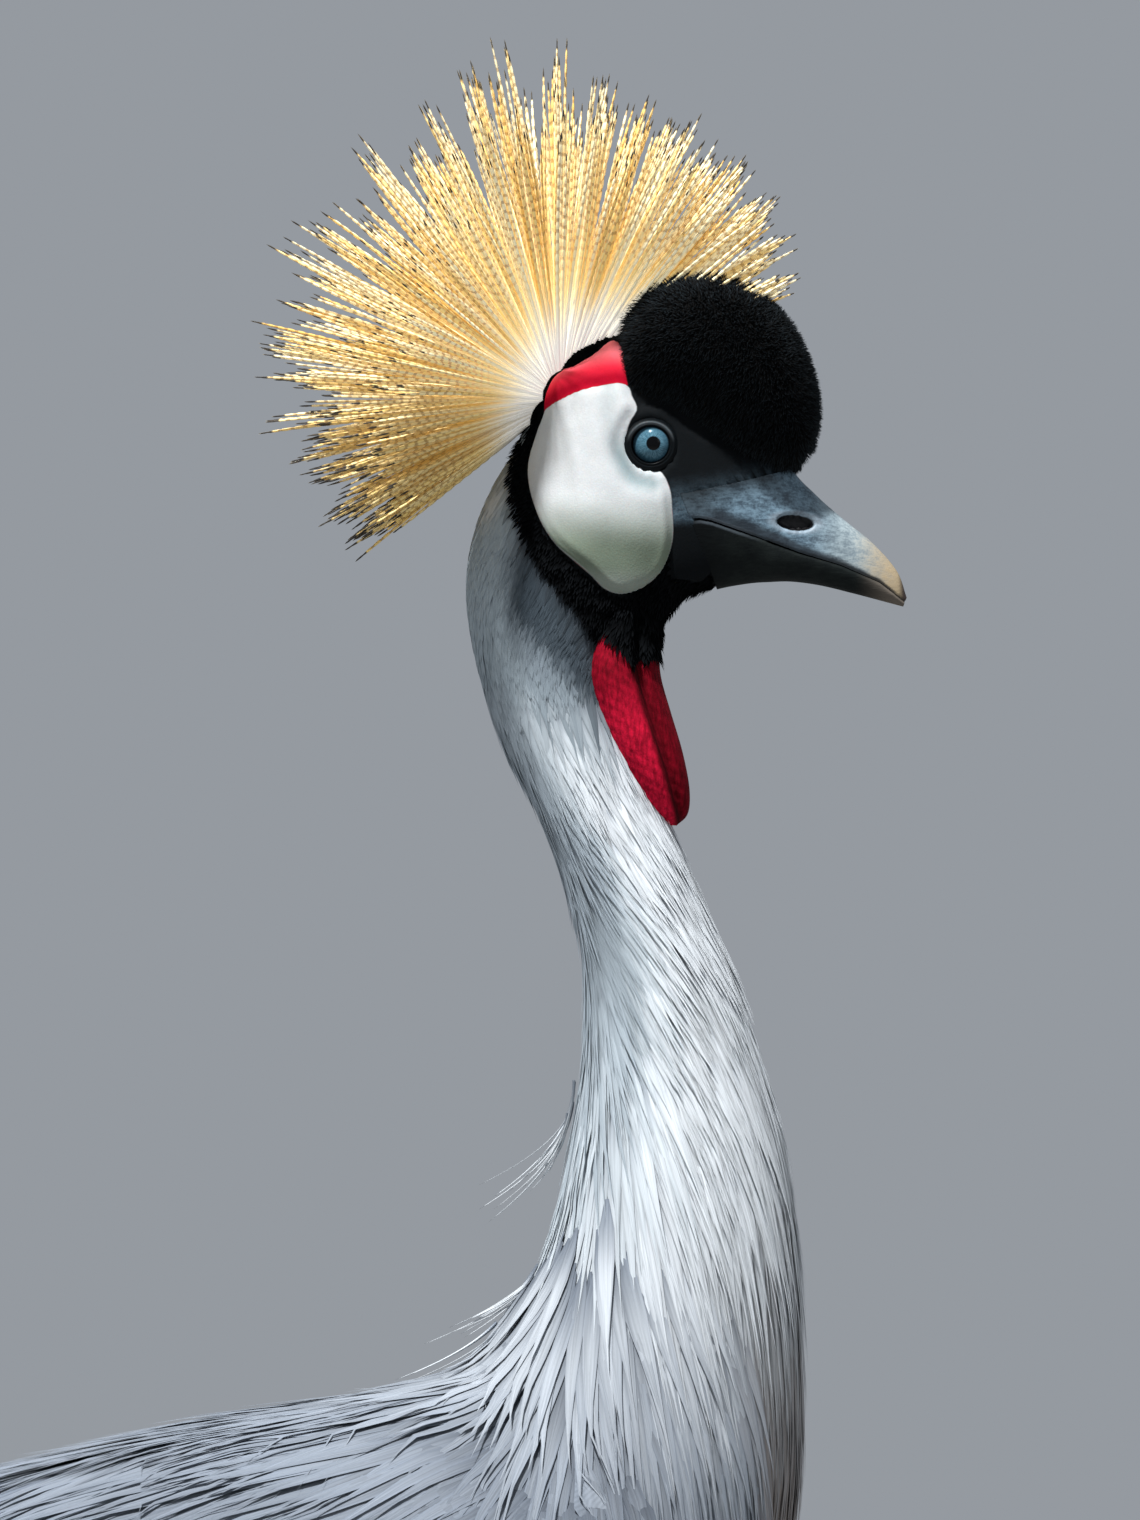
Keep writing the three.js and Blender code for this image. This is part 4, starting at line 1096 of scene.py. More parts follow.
class Markings:
    """Shares of each marking at points of the body, and depths in millimetres inside the bare patches."""

    def __init__(self, points, place):
        x, y, z = points[..., 0], np.abs(points[..., 1]), points[..., 2]
        self.white_in = np.minimum(depth_inside(x, z, closed_line(CHEEK)), y - 4)
        self.bare_in = np.minimum(depth_inside(x, z, closed_line(BARE_FACE)), y - 3)
        self.red_in = np.minimum(self.bare_in, -self.white_in)
        self.white = ease(-0.4, 0.4, self.white_in)
        self.red = ease(-0.4, 0.4, self.red_in)
        black_in = depth_inside(x, z, np.array(BLACK_DOWN))
        self.black = ease(-1.5, 1.5, black_in) * (place > NECK_TOP)
        behind = x - read_off(NECK_BACK, z)
        nape = ease(23, 11, behind)
        # Painted shadow of the head on the neck along the black down, fading towards the nape
        neck_shade = np.maximum(ease(-24, -8, black_in), 0.45) * (1 - 0.85 * nape)
        self.neck_shade = neck_shade * ease(840, 864, z) * ease(958, 930, z) * (place > NECK_TOP)
        self.eye_distance = np.hypot(x - IRIS_MIDDLE[0], z - IRIS_MIDDLE[2])
        under = read_off(HORN_EDGE, x) - z
        self.horn = ease(0.1, 0.5, under) * ease(BILL_START, BILL_START + 0.08, place)
        self.sunk = ease(0.7, 1.8, under) * ease(BILL_START + 0.06, BILL_START + 0.2, place)
        self.lores = ease(-3.2, -1.6, depth_inside(x, z, np.array(LORES)))
        # The hollow is sunk into the skin and also painted in shade, less above the eye
        hollow = distance_to_line(x, z, through(CHEEK_HOLLOW, np.linspace(0, 5, 30)), closed=False)
        self.hollow = np.exp(-((hollow / 3.3) ** 2)) * self.white * blend(1.0, 0.3, ease(938, 948, z))
        # Painted shade with a greenish painted reflection, stronger towards the bottom of the cheek
        self.cheek_shade = ease(928, 905, z) * blend(0.75, 0.95, ease(894, 901, z)) * self.white
        self.bill_grey = ease(-7, 10, under) * ease(34, 37, x) * ease(913.2, 917.2, z) * (place > NECK_TOP)
        self.bill_grey *= 1 - self.sunk
        streak = distance_to_line(x, z, through(NAPE_STREAK, np.linspace(0, 3, 20)), closed=False)
        self.pale = 0.8 * np.exp(-((streak / 3.0) ** 2)) * (1 - self.black)
        self.slate = ease(7.2, 5.2, place) * ease(-20, -150, x) * 0.85
        self.slate = np.maximum(self.slate, ease(470, 430, z))
        # Slate high on the neck: partly the darker upper neck, partly painted shade under the crest
        upper = 0.66 * ease(13.0, 15.2, place) * (1 - nape) * (1 - 0.8 * self.neck_shade)
        # Painted shade down the back of the neck
        rear = 0.38 * ease(17, 6, behind) * ease(8.5, 11, place) * ease(15, 13.6, place)
        lower = 0.85 * ease(740, 600, z) * (place < NECK_TOP)
        self.slate = np.maximum.reduce([self.slate, upper, rear, lower])
        # Calm also turns the back of the lower neck to nape grey, partly as painted shade
        self.calm = np.maximum(ease(12.9, 14.2, place), 0.85 * ease(7, 10.5, place) * ease(26, 8, behind))
        self.rust = ease(720, 600, z) * ease(50, 68, x) * ease(480, 520, z) * (place > 5)

    def store(self, made, extra=()):
        for name in MARKS:
            set_attribute(made, name, np.append(np.ravel(getattr(self, name)), extra))


MARKS = (
    "white_in", "red_in", "black", "hollow", "cheek_shade", "pale", "slate", "rust", "calm", "neck_shade", "bill_grey",
)


def plain_marks(made, **shares):
    """No markings on a piece except those named, each with one share or with one for each vertex."""
    for name in MARKS:
        set_attribute(made, name, shares.get(name, -9 if name.endswith("_in") else 0))


def skin_relief(points, place, count):
    """How far the skin stands from the outer surface of the solids."""
    marks = Markings(points, place)
    x, z = points[..., 0], points[..., 2]
    away = marks.eye_distance
    bare = np.maximum.reduce([ease(-0.5, 0.5, marks.bare_in), marks.lores, ease(14.5, 12.5, away)])
    grow = -coat_depth(place[:, 0], count) * (1 - bare)
    inside = np.clip(marks.bare_in, 0, None)
    rise = blend(CHEEK_RISE, RED_RISE, marks.red)
    seam = 0.55 * np.exp(-((marks.white_in / 1.5) ** 2)) * ease(0.3, 3.0, inside)
    puffed = rise * ease(-0.4, 4.0, marks.bare_in) * blend(0.45, 1.0, ease(-9, 6, x)) - seam
    swollen = 2.3 * np.exp(-((x - 12) ** 2 + (z - 915) ** 2) / 300) * ease(11.0, 15.0, away)
    ripple = 0.3 * np.sin(x / 4.2 + z / 6.5) * np.sin(z / 4.6 - x / 8.0 + 1.0)
    swollen += ripple * ease(2, 6, inside) * ease(935, 920, z)
    puffed *= ease(10.3, 14.5, away)
    clear = ease(10.6, 13.8, away)
    grow += ease(-0.5, 0.5, marks.bare_in) * puffed + marks.white * (swollen - 1.9 * marks.hollow * clear)
    under_nostril = ease(13, 8, np.hypot(x - NOSTRIL["x"], z - NOSTRIL["z"]))
    grow = blend(grow, -1.6 - 2.2 * under_nostril, marks.sunk)
    # Under the lid the skin sinks, and inside the lid's edge it drops away behind the eyeball
    on_side = np.abs(points[..., 1]) > 3
    grow -= 2.6 * ease(9.6, 8.2, away) * on_side
    return blend(grow, -9.0, ease(8.1, 6.9, away) * on_side), marks


# The skin: one loft from rump to bill, with its legs, wattle and lids
SKIN_TURNS = 208


def body_skin():
    place = np.concatenate([
        np.linspace(0, NECK_TOP, 66)[:-1], np.linspace(NECK_TOP, 22.4, 211)[:-1], np.linspace(22.4, 29.5, 24),
    ])
    turn = turns(SKIN_TURNS)
    outer = ring_points(SECTIONS, place, turn)
    grow, marks = skin_relief(outer, place[:, None] * np.ones((1, SKIN_TURNS)), SKIN_TURNS)
    points = ring_points(SECTIONS, place, turn, grow)
    made = tube("skin", points)
    marks.store(made, extra=(0, 0))
    return made, points


# Radius and height over the head of each ring of an eyelid, from outside in, in millimetres
LID_RINGS = [
    (10.6, -1.5), (9.8, -0.6), (9.35, -0.05), (9.0, 0.12), (8.75, 0.32), (8.5, 0.55), (8.15, 0.7),
    (7.85, 0.45), (7.6, 0.5), (7.3, 0.75), (7.0, 0.7),
]
LID_EDGE = [(6.8, 0.5), (6.6, 0.1), (6.4, -0.8)]
LID_LEVEL = 17.2
LID_CREST = 8.15


def lid(side, skin_points):
    """A ring of bare lid round one eye, bedded in the skin."""
    around = 72
    turn = turns(around)
    flat = skin_points.reshape(-1, 3)
    away = np.hypot(flat[:, 0] - IRIS_MIDDLE[0], flat[:, 2] - IRIS_MIDDLE[2])
    flat = flat[(flat[:, 1] * side > 4) & (away > 10.0)]
    rings = []
    for n, (radius, over) in enumerate(LID_RINGS + LID_EDGE):
        x = IRIS_MIDDLE[0] + radius * np.cos(turn)
        z = IRIS_MIDDLE[2] + radius * 0.97 * np.sin(turn)
        if n < len(LID_RINGS):
            near = np.argmin((flat[:, 0] - x[:, None]) ** 2 + (flat[:, 2] - z[:, None]) ** 2, axis=1)
            y = np.abs(flat[near, 1])
            for _ in range(4):
                y = sum(np.roll(y, by) for by in range(-3, 4)) / 7
            y = blend(y, LID_LEVEL, ease(10.2, 7.9, radius))
        else:
            y = EYE[1] + np.sqrt(EYE_RADIUS**2 - (x - EYE[0]) ** 2 - (z - EYE[2]) ** 2)
        rings.append(np.stack([x, side * (y + over), z], -1))
    rings = np.array(rings)[:, ::side]
    made = sheet("lid", rings, closed=True)
    plain_marks(made, black=1)
    radii = np.array([radius for radius, _ in LID_RINGS + LID_EDGE])
    # A painted highlight in a thin arc along the upper lid's ridge
    arc = np.exp(-(((radii - LID_CREST) / 0.4) ** 2))[:, None] * ease(0.05, 0.75, np.sin(turn))[None, :]
    set_attributes(made, lid=1, arc=arc[:, ::side])
    return made


def wattle_rings(rows, around, grow):
    """Rings of the wattle, narrower in front of the crease."""
    place = np.linspace(0, len(WATTLE_SECTIONS) - 1, rows)
    points = ring_points(WATTLE_SECTIONS, place, turns(around), grow)
    x, z = points[..., 0], points[..., 2]
    ahead = x - read_off(WATTLE_CREASE, z)
    low = ease(893, 872, z)
    front = 0.66 + 0.18 * np.exp(-(((ahead - 5.5) / 4.0) ** 2))
    share = blend(1.0, front, ease(-1.2, 1.6, ahead))
    share -= 0.10 * np.exp(-(((ahead - 0.6) / 1.1) ** 2))
    points[..., 1] *= blend(1.0, share, low)
    wrinkle = 0.14 * np.sin(z * 1.7 + x * 0.9) + 0.1 * np.sin(z * 0.8 - x * 1.9 + 1)
    points[..., 1] += np.sign(points[..., 1]) * wrinkle * low * ease(2, 6, np.abs(points[..., 1]))
    return points, ahead, place


def wattle_skin():
    """Two soft lobes that hang from the throat, with a crease between them."""
    points, ahead, _ = wattle_rings(80, 80, -0.6)
    made = tube("wattle_skin", points[:, ::-1])
    plain_marks(made, black=1)
    # The front lobe, the top under the head and the crease between the lobes get painted shade
    for name, values in (
        ("wattle_in", read_off(WATTLE_EDGE, points[..., 0]) - points[..., 2]),
        ("crease", np.exp(-((ahead / 1.5) ** 2))), ("front", ease(-0.5, 1.5, ahead)),
        ("head_shadow", ease(840, 864, points[..., 2]) * 0.88),
    ):
        set_attribute(made, name, np.append(values[:, ::-1], (0, 0)))
    return made


def scute_relief(z, turn, period):
    """Height of overlapping plates on the front and back of a leg, and of small scales on its sides."""
    plate = ((z + 1.6 * np.cos(turn) ** 2) / period) % 1
    plates = 0.42 * plate**0.6 * (1 - ease(0.9, 1.0, plate))
    scales = 0.3 * np.abs(np.cos(np.pi * z / 3.1) * np.cos(7 * turn))
    return blend(scales, plates, ease(0.3, 0.55, np.abs(np.cos(turn))))


def leg_rings(rows, steps, around, scaled=False):
    """Smooth oval rings down a leg through rows of X, Y, Z, half length and half width."""
    place = np.linspace(0, len(rows) - 1, steps)
    row = through(rows, place)
    turn = turns(around)
    z = np.repeat(row[:, 2:3], around, 1)
    over = scute_relief(z, turn[None, :], 5.4) * ease(2, 14, z) - 0.3 if scaled else 0.0
    x = row[:, 0:1] + (row[:, 3:4] + over) * np.cos(turn)
    y = row[:, 1:2] + (row[:, 4:5] + over) * np.sin(turn)
    return np.stack([x, y, z], -1)


def leg_rows(name):
    """Rows of the thigh and of the bare leg below it."""
    y, foot = SIDES[name] * STANCE_HALF, FOOT_X[name]
    ankle = foot - 14
    thigh = [
        (ankle + 60, y * 0.9, 500, 44, 26), (ankle + 58, y * 1.08, 470, 40, 26),
        (ankle + 46, y * 1.12, 425, 40, 29), (ankle + 36, y * 1.1, 385, 31, 23),
        (ankle + 26, y * 1.05, 345, 20, 15), (ankle + 18, y, 308, 11, 9.2), (ankle + 14, y, 288, 8, 7.4),
    ]
    bare = [
        (ankle + 18, y, 308, 9.5, 8), (ankle + 13.8, y, 288, 8.2, 7.6), (ankle + 8, y, 262, 7, 6.4),
        (ankle + 3.5, y, 232, 8.2, 7.4), (ankle + 1, y, ANKLE_HEIGHT + 7, 11, 10),
        (ankle, y, ANKLE_HEIGHT - 4, 11.5, 10), (ankle + 1, y, ANKLE_HEIGHT - 20, 8.4, 6.8),
        (ankle + 3, y, ANKLE_HEIGHT - 45, 7, 5.6), (ankle + 7, y, ANKLE_HEIGHT - TARSUS_LENGTH / 2, 6.4, 5.2),
        (ankle + 12, y, 40, 7, 6.2), (foot, y, 20, 9, 10), (foot + 1, y, 9, 10, 10.5),
        (foot + 1, y, 0.2, 7, 7),
    ]
    return thigh, bare


def toes_of(name):
    """Heading, length and girth of each toe."""
    spread = SIDES[name] * math.radians(TOE_SPREAD)
    return {
        "inner": (-spread, TOES["inner"], TOE_GIRTH * 0.94), "middle": (0.0, TOES["middle"], TOE_GIRTH),
        "outer": (spread, TOES["outer"], TOE_GIRTH * 0.94),
        "hind": (math.pi + SIDES[name] * math.radians(6), TOES["hind"], TOE_GIRTH * 0.85),
    }


def toe_points(name, heading, reach, height, radius, turn, widest=1.0):
    """Rings round a line that runs from the foot along a heading, at given reaches and heights."""
    foot = np.array([FOOT_X[name], SIDES[name] * STANCE_HALF, 0.0])
    forward = np.array([math.cos(heading), math.sin(heading), 0])
    sideways = np.array([-math.sin(heading), math.cos(heading), 0])
    middle = foot + forward * reach[:, None]
    middle[:, 2] = height
    out = sideways * np.sin(turn)[:, None] * widest - np.array([0, 0, 1.0]) * np.cos(turn)[:, None]
    return middle[:, None, :] + radius[..., None] * out[None]


def toe_rings(name, toe):
    heading, length, girth = toes_of(name)[toe]
    share = np.linspace(0.02, 1, 64)
    radius = girth * (1 - 0.32 * share) * (1 + 0.07 * np.cos(share * 6 * math.pi))
    radius = radius * np.sqrt(np.clip(1 - ((share - 0.93) / 0.075).clip(0) ** 2, 0.05, 1))
    turn = -turns(14)
    plate = (share * length / 3.6) % 1
    plates = 0.3 * (plate**0.6 * (1 - ease(0.88, 1, plate)))[:, None]
    over = plates * ease(0.1, -0.4, np.cos(turn))[None] - 0.15
    points = toe_points(name, heading, length * share, radius * 0.92, radius[:, None] + over, turn)
    points[..., 2] = np.maximum(points[..., 2], 0.05)
    return points


def leg_skin(name):
    thigh, bare = leg_rows(name)
    pieces = [tube("thigh", leg_rings(thigh, 30, 32)), tube("shaft", leg_rings(bare, 290, 30, scaled=True))]
    pieces += [tube("toe", toe_rings(name, toe)) for toe in TOES]
    made = join("leg_skin", *pieces)
    z = np.array([v.co.z for v in made.data.vertices]) / MM
    plain_marks(made, slate=1)
    set_attribute(made, "leg", ease(302, 290, z))
    return made


def build_skin():
    body, points = body_skin()
    pieces = [body, lid(1, points), lid(-1, points), wattle_skin(), leg_skin("left"), leg_skin("right")]
    skin = join("skin", *pieces)
    skin.data.materials.clear()
    skin.data.materials.append(bare_skin())
    keep(skin, "black_down", "trunk", "neck_lower", "neck_middle", "neck_upper", "head",
         "cheek_left", "cheek_right", "red_patch_left", "red_patch_right", "wattle",
         "thigh_left", "thigh_right", "shank_left", "shank_right", "tarsus_left", "tarsus_right",
         *[f"toe_{side}_{toe}" for side in FOOT_X for toe in TOES])


build_skin()


# Bill. Far stands for a distance beyond the reach of a marking
HORN_ROOT_X = 42
HORN_TIP_X = 119.5
FAR = 9


def first_below(place, line):
    """For each ring, the first turn at which it passes below a side outline."""
    turn = np.linspace(0, np.pi, 721)
    points = ring_points(SECTIONS, place, turn)
    below = points[..., 2] <= read_off(line, points[..., 0])
    index = np.argmax(below, axis=1)
    return turn[index]


def bill_shell(place, first, last, rounded_first, rounded_last):
    """One side of a horn piece, between two turns of each ring, and how far its points are from its edges."""
    steps = 40
    share = (1 - np.cos(np.linspace(0, np.pi, steps))) / 2
    rings, insets, edges = [], [], []
    for k, a, b in zip(place, first, last):
        turn = a + (b - a) * share
        half = ring_points(SECTIONS, np.array([k]), turn)[0]
        way = np.linalg.norm(np.diff(half, axis=0), axis=1)
        run = np.append(0, np.cumsum(way))
        from_first, from_last = run, run[-1] - run
        inset = 0.55 * np.exp(-((from_last / 0.5) ** 2)) * rounded_last
        insets.append(inset + 0.45 * np.exp(-((from_first / 0.5) ** 2)) * rounded_first)
        rings.append(half)
        edges.append((from_last, from_first) if rounded_last else (from_first, from_last + FAR))
    outer = np.array(rings)
    normals = grid_normals(outer, closed=False)
    return outer - normals * np.array(insets)[..., None], np.array(edges), normals


def bill_piece(name, is_upper):
    place = np.linspace(BILL_START, BILL_TIP - 0.02, 190)
    gape = first_below(place, GAPE)
    horn_top = first_below(place, HORN_EDGE)
    clearance = 0.012
    if is_upper:
        first, last = horn_top, np.maximum(gape - clearance, horn_top + 0.02)
        outer, edge, normals = bill_shell(place, first, last, 0, 1)
    else:
        first, last = gape + clearance, np.full(len(place), np.pi)
        outer, edge, normals = bill_shell(place, first, last, 1, 0)
    x, z = outer[..., 0], outer[..., 2]
    across = (x - NOSTRIL["x"]) / NOSTRIL["half_long"]
    level = (z - NOSTRIL["z"] - NOSTRIL["slope"] * (x - NOSTRIL["x"])) / NOSTRIL["half_high"]
    away = np.hypot(across, level)
    pit = ease(1.12, 0.75, away) if is_upper else np.zeros_like(x)
    rim = np.exp(-(((away - 1.35) / 0.28) ** 2)) if is_upper else np.zeros_like(x)
    outer = outer - normals * (NOSTRIL["depth"] * pit - 0.25 * rim)[..., None]
    right = outer[:, ::-1] * (1, -1, 1)
    halves = (right, outer) if is_upper else (outer, right)
    rings = np.concatenate(halves, axis=1)

    def both(values):
        flipped = values[:, ::-1]
        return np.concatenate((flipped, values) if is_upper else (values, flipped), axis=1)

    made = tube(name.replace("bill", "horn"), rings)
    along = np.clip((rings[..., 0] - HORN_ROOT_X) / (HORN_TIP_X - HORN_ROOT_X), 0, 1)
    for label, values, ends in (
        ("along", along, (0, 1)), ("edge", both(edge[:, 0]), (FAR, FAR)),
        ("brow", both(edge[:, 1]), (FAR, FAR)),
        ("nostril", both(away if is_upper else away + FAR), (FAR, FAR)),
    ):
        set_attribute(made, label, np.append(values, ends))
    slot = "grey_horn" if is_upper else "dark_horn"
    keep(made, slot, name, material=horn(name + "_horn", is_upper))


bill_piece("bill_upper", True)
bill_piece("bill_lower", False)


# Eyes
def eyeball(name, side):
    """An eyeball with a slightly raised clear front, its axis across the head."""
    polar = np.linspace(0.02, np.pi - 0.02, 40)
    turn = turns(56)
    radius = EYE_RADIUS + 0.55 * np.exp(-((polar / 0.62) ** 2))
    y = np.repeat((radius * np.cos(polar))[:, None], len(turn), 1)
    flat = (radius * np.sin(polar))[:, None]
    points = np.stack([flat * np.cos(turn), side * y, flat * np.sin(turn)], -1) + EYE * (1, side, 1)
    made = tube("eyeball_" + name, points[:, ::-side])
    keep(made, "eye", "eye_" + name, material=eye_colour("eye_" + name, side))


for name, side in SIDES.items():
    eyeball(name, side)


# Beds that the feathers grow from, and the length of the body's feathers at places counted in sections
FEATHER_LENGTHS = [
    (0, 0.9), (3, 1.0), (5, 1.1), (7, 1.1), (9, 1.0), (12, 0.8), (13.5, 0.6), (15, 0.5), (24, 0.5),
]


def flow_down(x):
    """Direction in which feathers hang at the base of the neck."""
    slope = read_off(BASE_FLOW, x)
    return unit(np.stack([slope, np.zeros_like(slope), -np.ones_like(slope)], -1))


def unwrap(u, v):
    """Spots on the unwrap for a grid of points, kept off its border."""
    return np.stack(np.broadcast_arrays(0.02 + 0.96 * u[:, None], 0.02 + 0.96 * v[None, :], 0.0), -1)


def make_bed(name, points, up, lie, spots, high, longer, **areas):
    """A hidden sheet that feathers grow from: their lie and outward direction, unwrap, sizes and areas."""
    made = hidden(sheet(name, points))
    lie = unit(lie - up * (lie * up).sum(-1, keepdims=True))
    set_attributes(made, up=up, lie=lie, place=unwrap(*spots), high=high * MM, long=longer, **areas)
    return made


def body_bed():
    place = np.concatenate([np.linspace(0.1, NECK_TOP, 110)[:-1], np.linspace(NECK_TOP, 23.5, 220)])
    turn = np.linspace(0, 2 * np.pi, 161)
    depth = coat_depth(place, len(turn))
    outer = ring_points(SECTIONS, place, turn)
    points = ring_points(SECTIONS, place, turn, -depth)
    x, y, z = points[..., 0], np.abs(points[..., 1]), points[..., 2]
    k = place[:, None] * np.ones_like(x)
    lie = -unit(np.gradient(points, axis=0))
    sweep = 0.42 * ((1 + np.cos(turn)) / 2)[None, :] ** 0.8 * ease(8, 9.5, k) * ease(13.2, 11.2, k)
    lie = unit(lie + sweep[..., None] * np.array([1.0, 0, 0]))
    falling = ease(4.4, 5.6, k) * ease(10.0, 8.4, k) * ease(470, 530, z)
    lie = blend(lie, flow_down(x), falling[..., None])
    trailing = 0.8 * ease(6.4, 5.0, k) * ease(0, -60, x)
    lie = unit(blend(lie, np.array([-1.0, 0, -0.22]), trailing[..., None]))
    way = np.append(0, np.cumsum(np.linalg.norm(np.diff(points[:, 40], axis=0), axis=1)))
    longer = read_off(FEATHER_LENGTHS, k)
    marks = Markings(outer, k)

    # Shares of the bed that each coat covers
    eye_gap = blend(13.8, 11.6, ease(948, 952, z)) - marks.eye_distance
    bare = np.maximum.reduce([
        ease(-0.9, 0.0, marks.bare_in), marks.horn, marks.lores, ease(-0.5, 0.5, eye_gap),
    ])
    cap_line = [(r[0], r[1]) for r in CAP_SECTIONS] + [(r[2], r[3]) for r in CAP_SECTIONS[::-1]]
    covered = ease(-6, -2, depth_inside(x, z, closed_line(cap_line)))
    open_skin = (1 - bare) * (1 - covered)
    blackness = marks.black > 0.5
    wing = np.array(WING_SECTIONS)[::-1]
    wing_top, wing_low = (np.interp(x, wing[:, 0], wing[:, n]) for n in (1, 3))
    under_wing = (z < wing_top - 14) * (z > wing_low + 24) * (x < 8) * (y > 18)
    under_mantle = (z > wing_top - 20) * (x < 8) * (x > -285)
    up = grid_normals(points, closed=False)
    made = make_bed(
        "body_bed", points, up, lie, (way / way[-1], turn / (2 * np.pi)), depth, longer,
        in_down=open_skin * blackness, in_nape=open_skin * (1 - blackness) * ease(12.9, 13.9, k),
        in_hackles=ease(8.3, 10.4, k) * ease(14.3, 13.2, k),
        in_breast=(k > 5.2) * ease(10.8, 8.8, k) * (z > 470) * (1 - under_wing),
        in_body=(1.0 - (k > 5.6) * (z > 450)) * (1 - under_wing) * (1 - under_mantle),
    )
    marks.store(made)
    return made


def body_side(x, z):
    """How far the body's surface is from its middle plane at an X and Z."""
    outline = ring_points(SECTIONS, np.linspace(0, 11, 220), np.linspace(0.02, np.pi - 0.02, 120))
    outline = outline.reshape(-1, 3)
    near = np.argmin((outline[:, 0] - x[:, None]) ** 2 + (outline[:, 2] - z[:, None]) ** 2, axis=1)
    gap = np.hypot(outline[near, 0] - x, outline[near, 2] - z)
    return np.where(gap < 4, outline[near, 1], 0.0)


def back_rows(stations):
    """Y and Z of rows that run along the back, from its ridge down over the folded wing."""
    wing = np.array(WING_SECTIONS, float)[::-1]
    top_z, top_y, low_z, low_y, bulge = (np.interp(stations, wing[:, 0], wing[:, n]) for n in range(1, 6))
    ridge = read_off(RIDGE, stations) - 4

    def on_wing(share, over):
        y = blend(top_y, low_y, share) + bulge * 4 * share * (1 - share) + over
        return y, blend(top_z, low_z, share)

    return [
        (np.zeros_like(ridge), ridge), (0.5 * top_y, ridge - 1.5),
        (top_y - 3, np.minimum(top_z + 9, ridge - 4)), (top_y + 10, np.minimum(top_z - 2, ridge - 12)),
        on_wing(0.12, 13.5), on_wing(0.25, 14.5), on_wing(0.4, 14.5), on_wing(0.6, 14),
    ]


def mantle_bed():
    """A bed over the back and the upper edges of the folded wings."""
    stations = np.linspace(62, -436, 150)
    front = ease(5, 50, stations)
    arcs = []
    for n, (y, z) in enumerate(back_rows(stations)):
        z = blend(z, 606 - 16.0 * n, front)
        y = blend(y, body_side(stations, z) + 1.5, front)
        arcs.append(np.stack([y, z], -1))
    share = np.linspace(0, 7, 60)
    arcs = np.array(arcs)
    half = np.array([through(arcs[:, n], share) for n in range(len(stations))])
    both = np.concatenate([half[:, :0:-1] * (-1, 1), half], axis=1)
    columns = np.concatenate([share[:0:-1], share])
    points = np.stack([np.repeat(stations[:, None], both.shape[1], 1), both[..., 0], both[..., 1]], -1)
    for _ in range(3):
        points[1:-1] = (points[:-2] + 2 * points[1:-1] + points[2:]) / 4
    up = -grid_normals(points, closed=False)
    up = up * np.where(up[..., 2:3] + 0.6 < 0, -1, 1)
    x, y, z = points[..., 0], points[..., 1], points[..., 2]
    lie = flow_down(x) + np.array([0, 0.25, 0]) * np.sign(y)[..., None] * ease(3, 1, columns)[None, :, None]
    outside = (np.abs(y) > body_side(x.ravel(), z.ravel()).reshape(x.shape) - 10) | (x < -30)
    rooted = outside * ease(4.6, 3.9, columns)[None, :] * ease(-285, -225, x) * ease(26, 4, x)
    spots = (np.linspace(0, 1, len(stations)), np.linspace(0, 1, len(columns)))
    longer = blend(0.85, 1.1, ease(20, -60, x))
    made = make_bed("mantle_bed", points, up, lie, spots, 5.0, longer, in_mantle=rooted)
    plain_marks(made, slate=slate_share(x, z))
    return made


def slate_share(x, z):
    """Feathers turn from pale grey to slate towards the tail."""
    return np.maximum(ease(-60, -180, x), 0.85 * ease(740, 600, z))


def drape_bed(side):
    """A bed over one side of the neck's base and the shoulder, where the long hackles hang."""
    across, down = np.linspace(-150, 86, 119), np.linspace(705, 425, 141)
    x, z = np.meshgrid(across, down, indexing="ij")
    body = body_side(x.ravel(), z.ravel()).reshape(x.shape) - 3.5
    shoulder = np.full(x.shape, -20.0)
    rows = back_rows(across)
    for n in range(len(across)):
        levels = [row[1][n] for row in rows][::-1]
        widths = [row[0][n] for row in rows][::-1]
        shoulder[n] = np.interp(down, levels, widths, right=-20)
    shoulder = blend(shoulder + 1, -20.0, ease(8, 44, x))
    softness = 4.0
    y = softness * np.logaddexp(body / softness, shoulder / softness)
    for _ in range(6):
        y[1:-1, 1:-1] = (y[:-2, 1:-1] + y[2:, 1:-1] + y[1:-1, :-2] + y[1:-1, 2:] + 2 * y[1:-1, 1:-1]) / 6
    slope_x, slope_z = np.gradient(y, across, down)
    up = unit(np.stack([-slope_x, np.ones_like(y), -slope_z], -1) * (1, side, 1))
    points = np.stack([x, side * y, z], -1)
    if side > 0:
        points, up, x, y, z = (values[::-1] for values in (points, up, x, y, z))
    longer = blend(0.8, 1.15, ease(690, 600, z)) * blend(0.75, 1.0, ease(545, 590, z))
    rooted = ease(676, 640, z) * ease(532, 556, z) * ease(-84, -40, x) * ease(50, 24, x) * ease(8, 15, y)
    spots = (np.linspace(0, 0.48, len(across)) + (0.5 if side > 0 else 0), np.linspace(0, 1, len(down)))
    made = make_bed("drape_bed", points, up, flow_down(x), spots, 4.2, longer, in_drape=rooted)
    plain_marks(made, slate=slate_share(x, z))
    return made


def throat_bed():
    """A bed on the wattle's root, where black down tapers to a point between its lobes."""
    points, _, place = wattle_rings(60, 80, -0.6)
    points = points[:34]
    above = points[..., 2] - read_off(WATTLE_EDGE, points[..., 0])
    spots = (place[:34] / (len(WATTLE_SECTIONS) - 1), np.linspace(0, 1, points.shape[1]))
    up, lie = -grid_normals(points, closed=False), np.gradient(points, axis=0)
    made = make_bed("throat_bed", points, up, lie, spots, 1.2, 1.0, in_throat=ease(0.6, 2.2, above))
    plain_marks(made, black=1)
    return made


bed = body_bed()
feather_material = grey_feathers()
down_material = black_down()


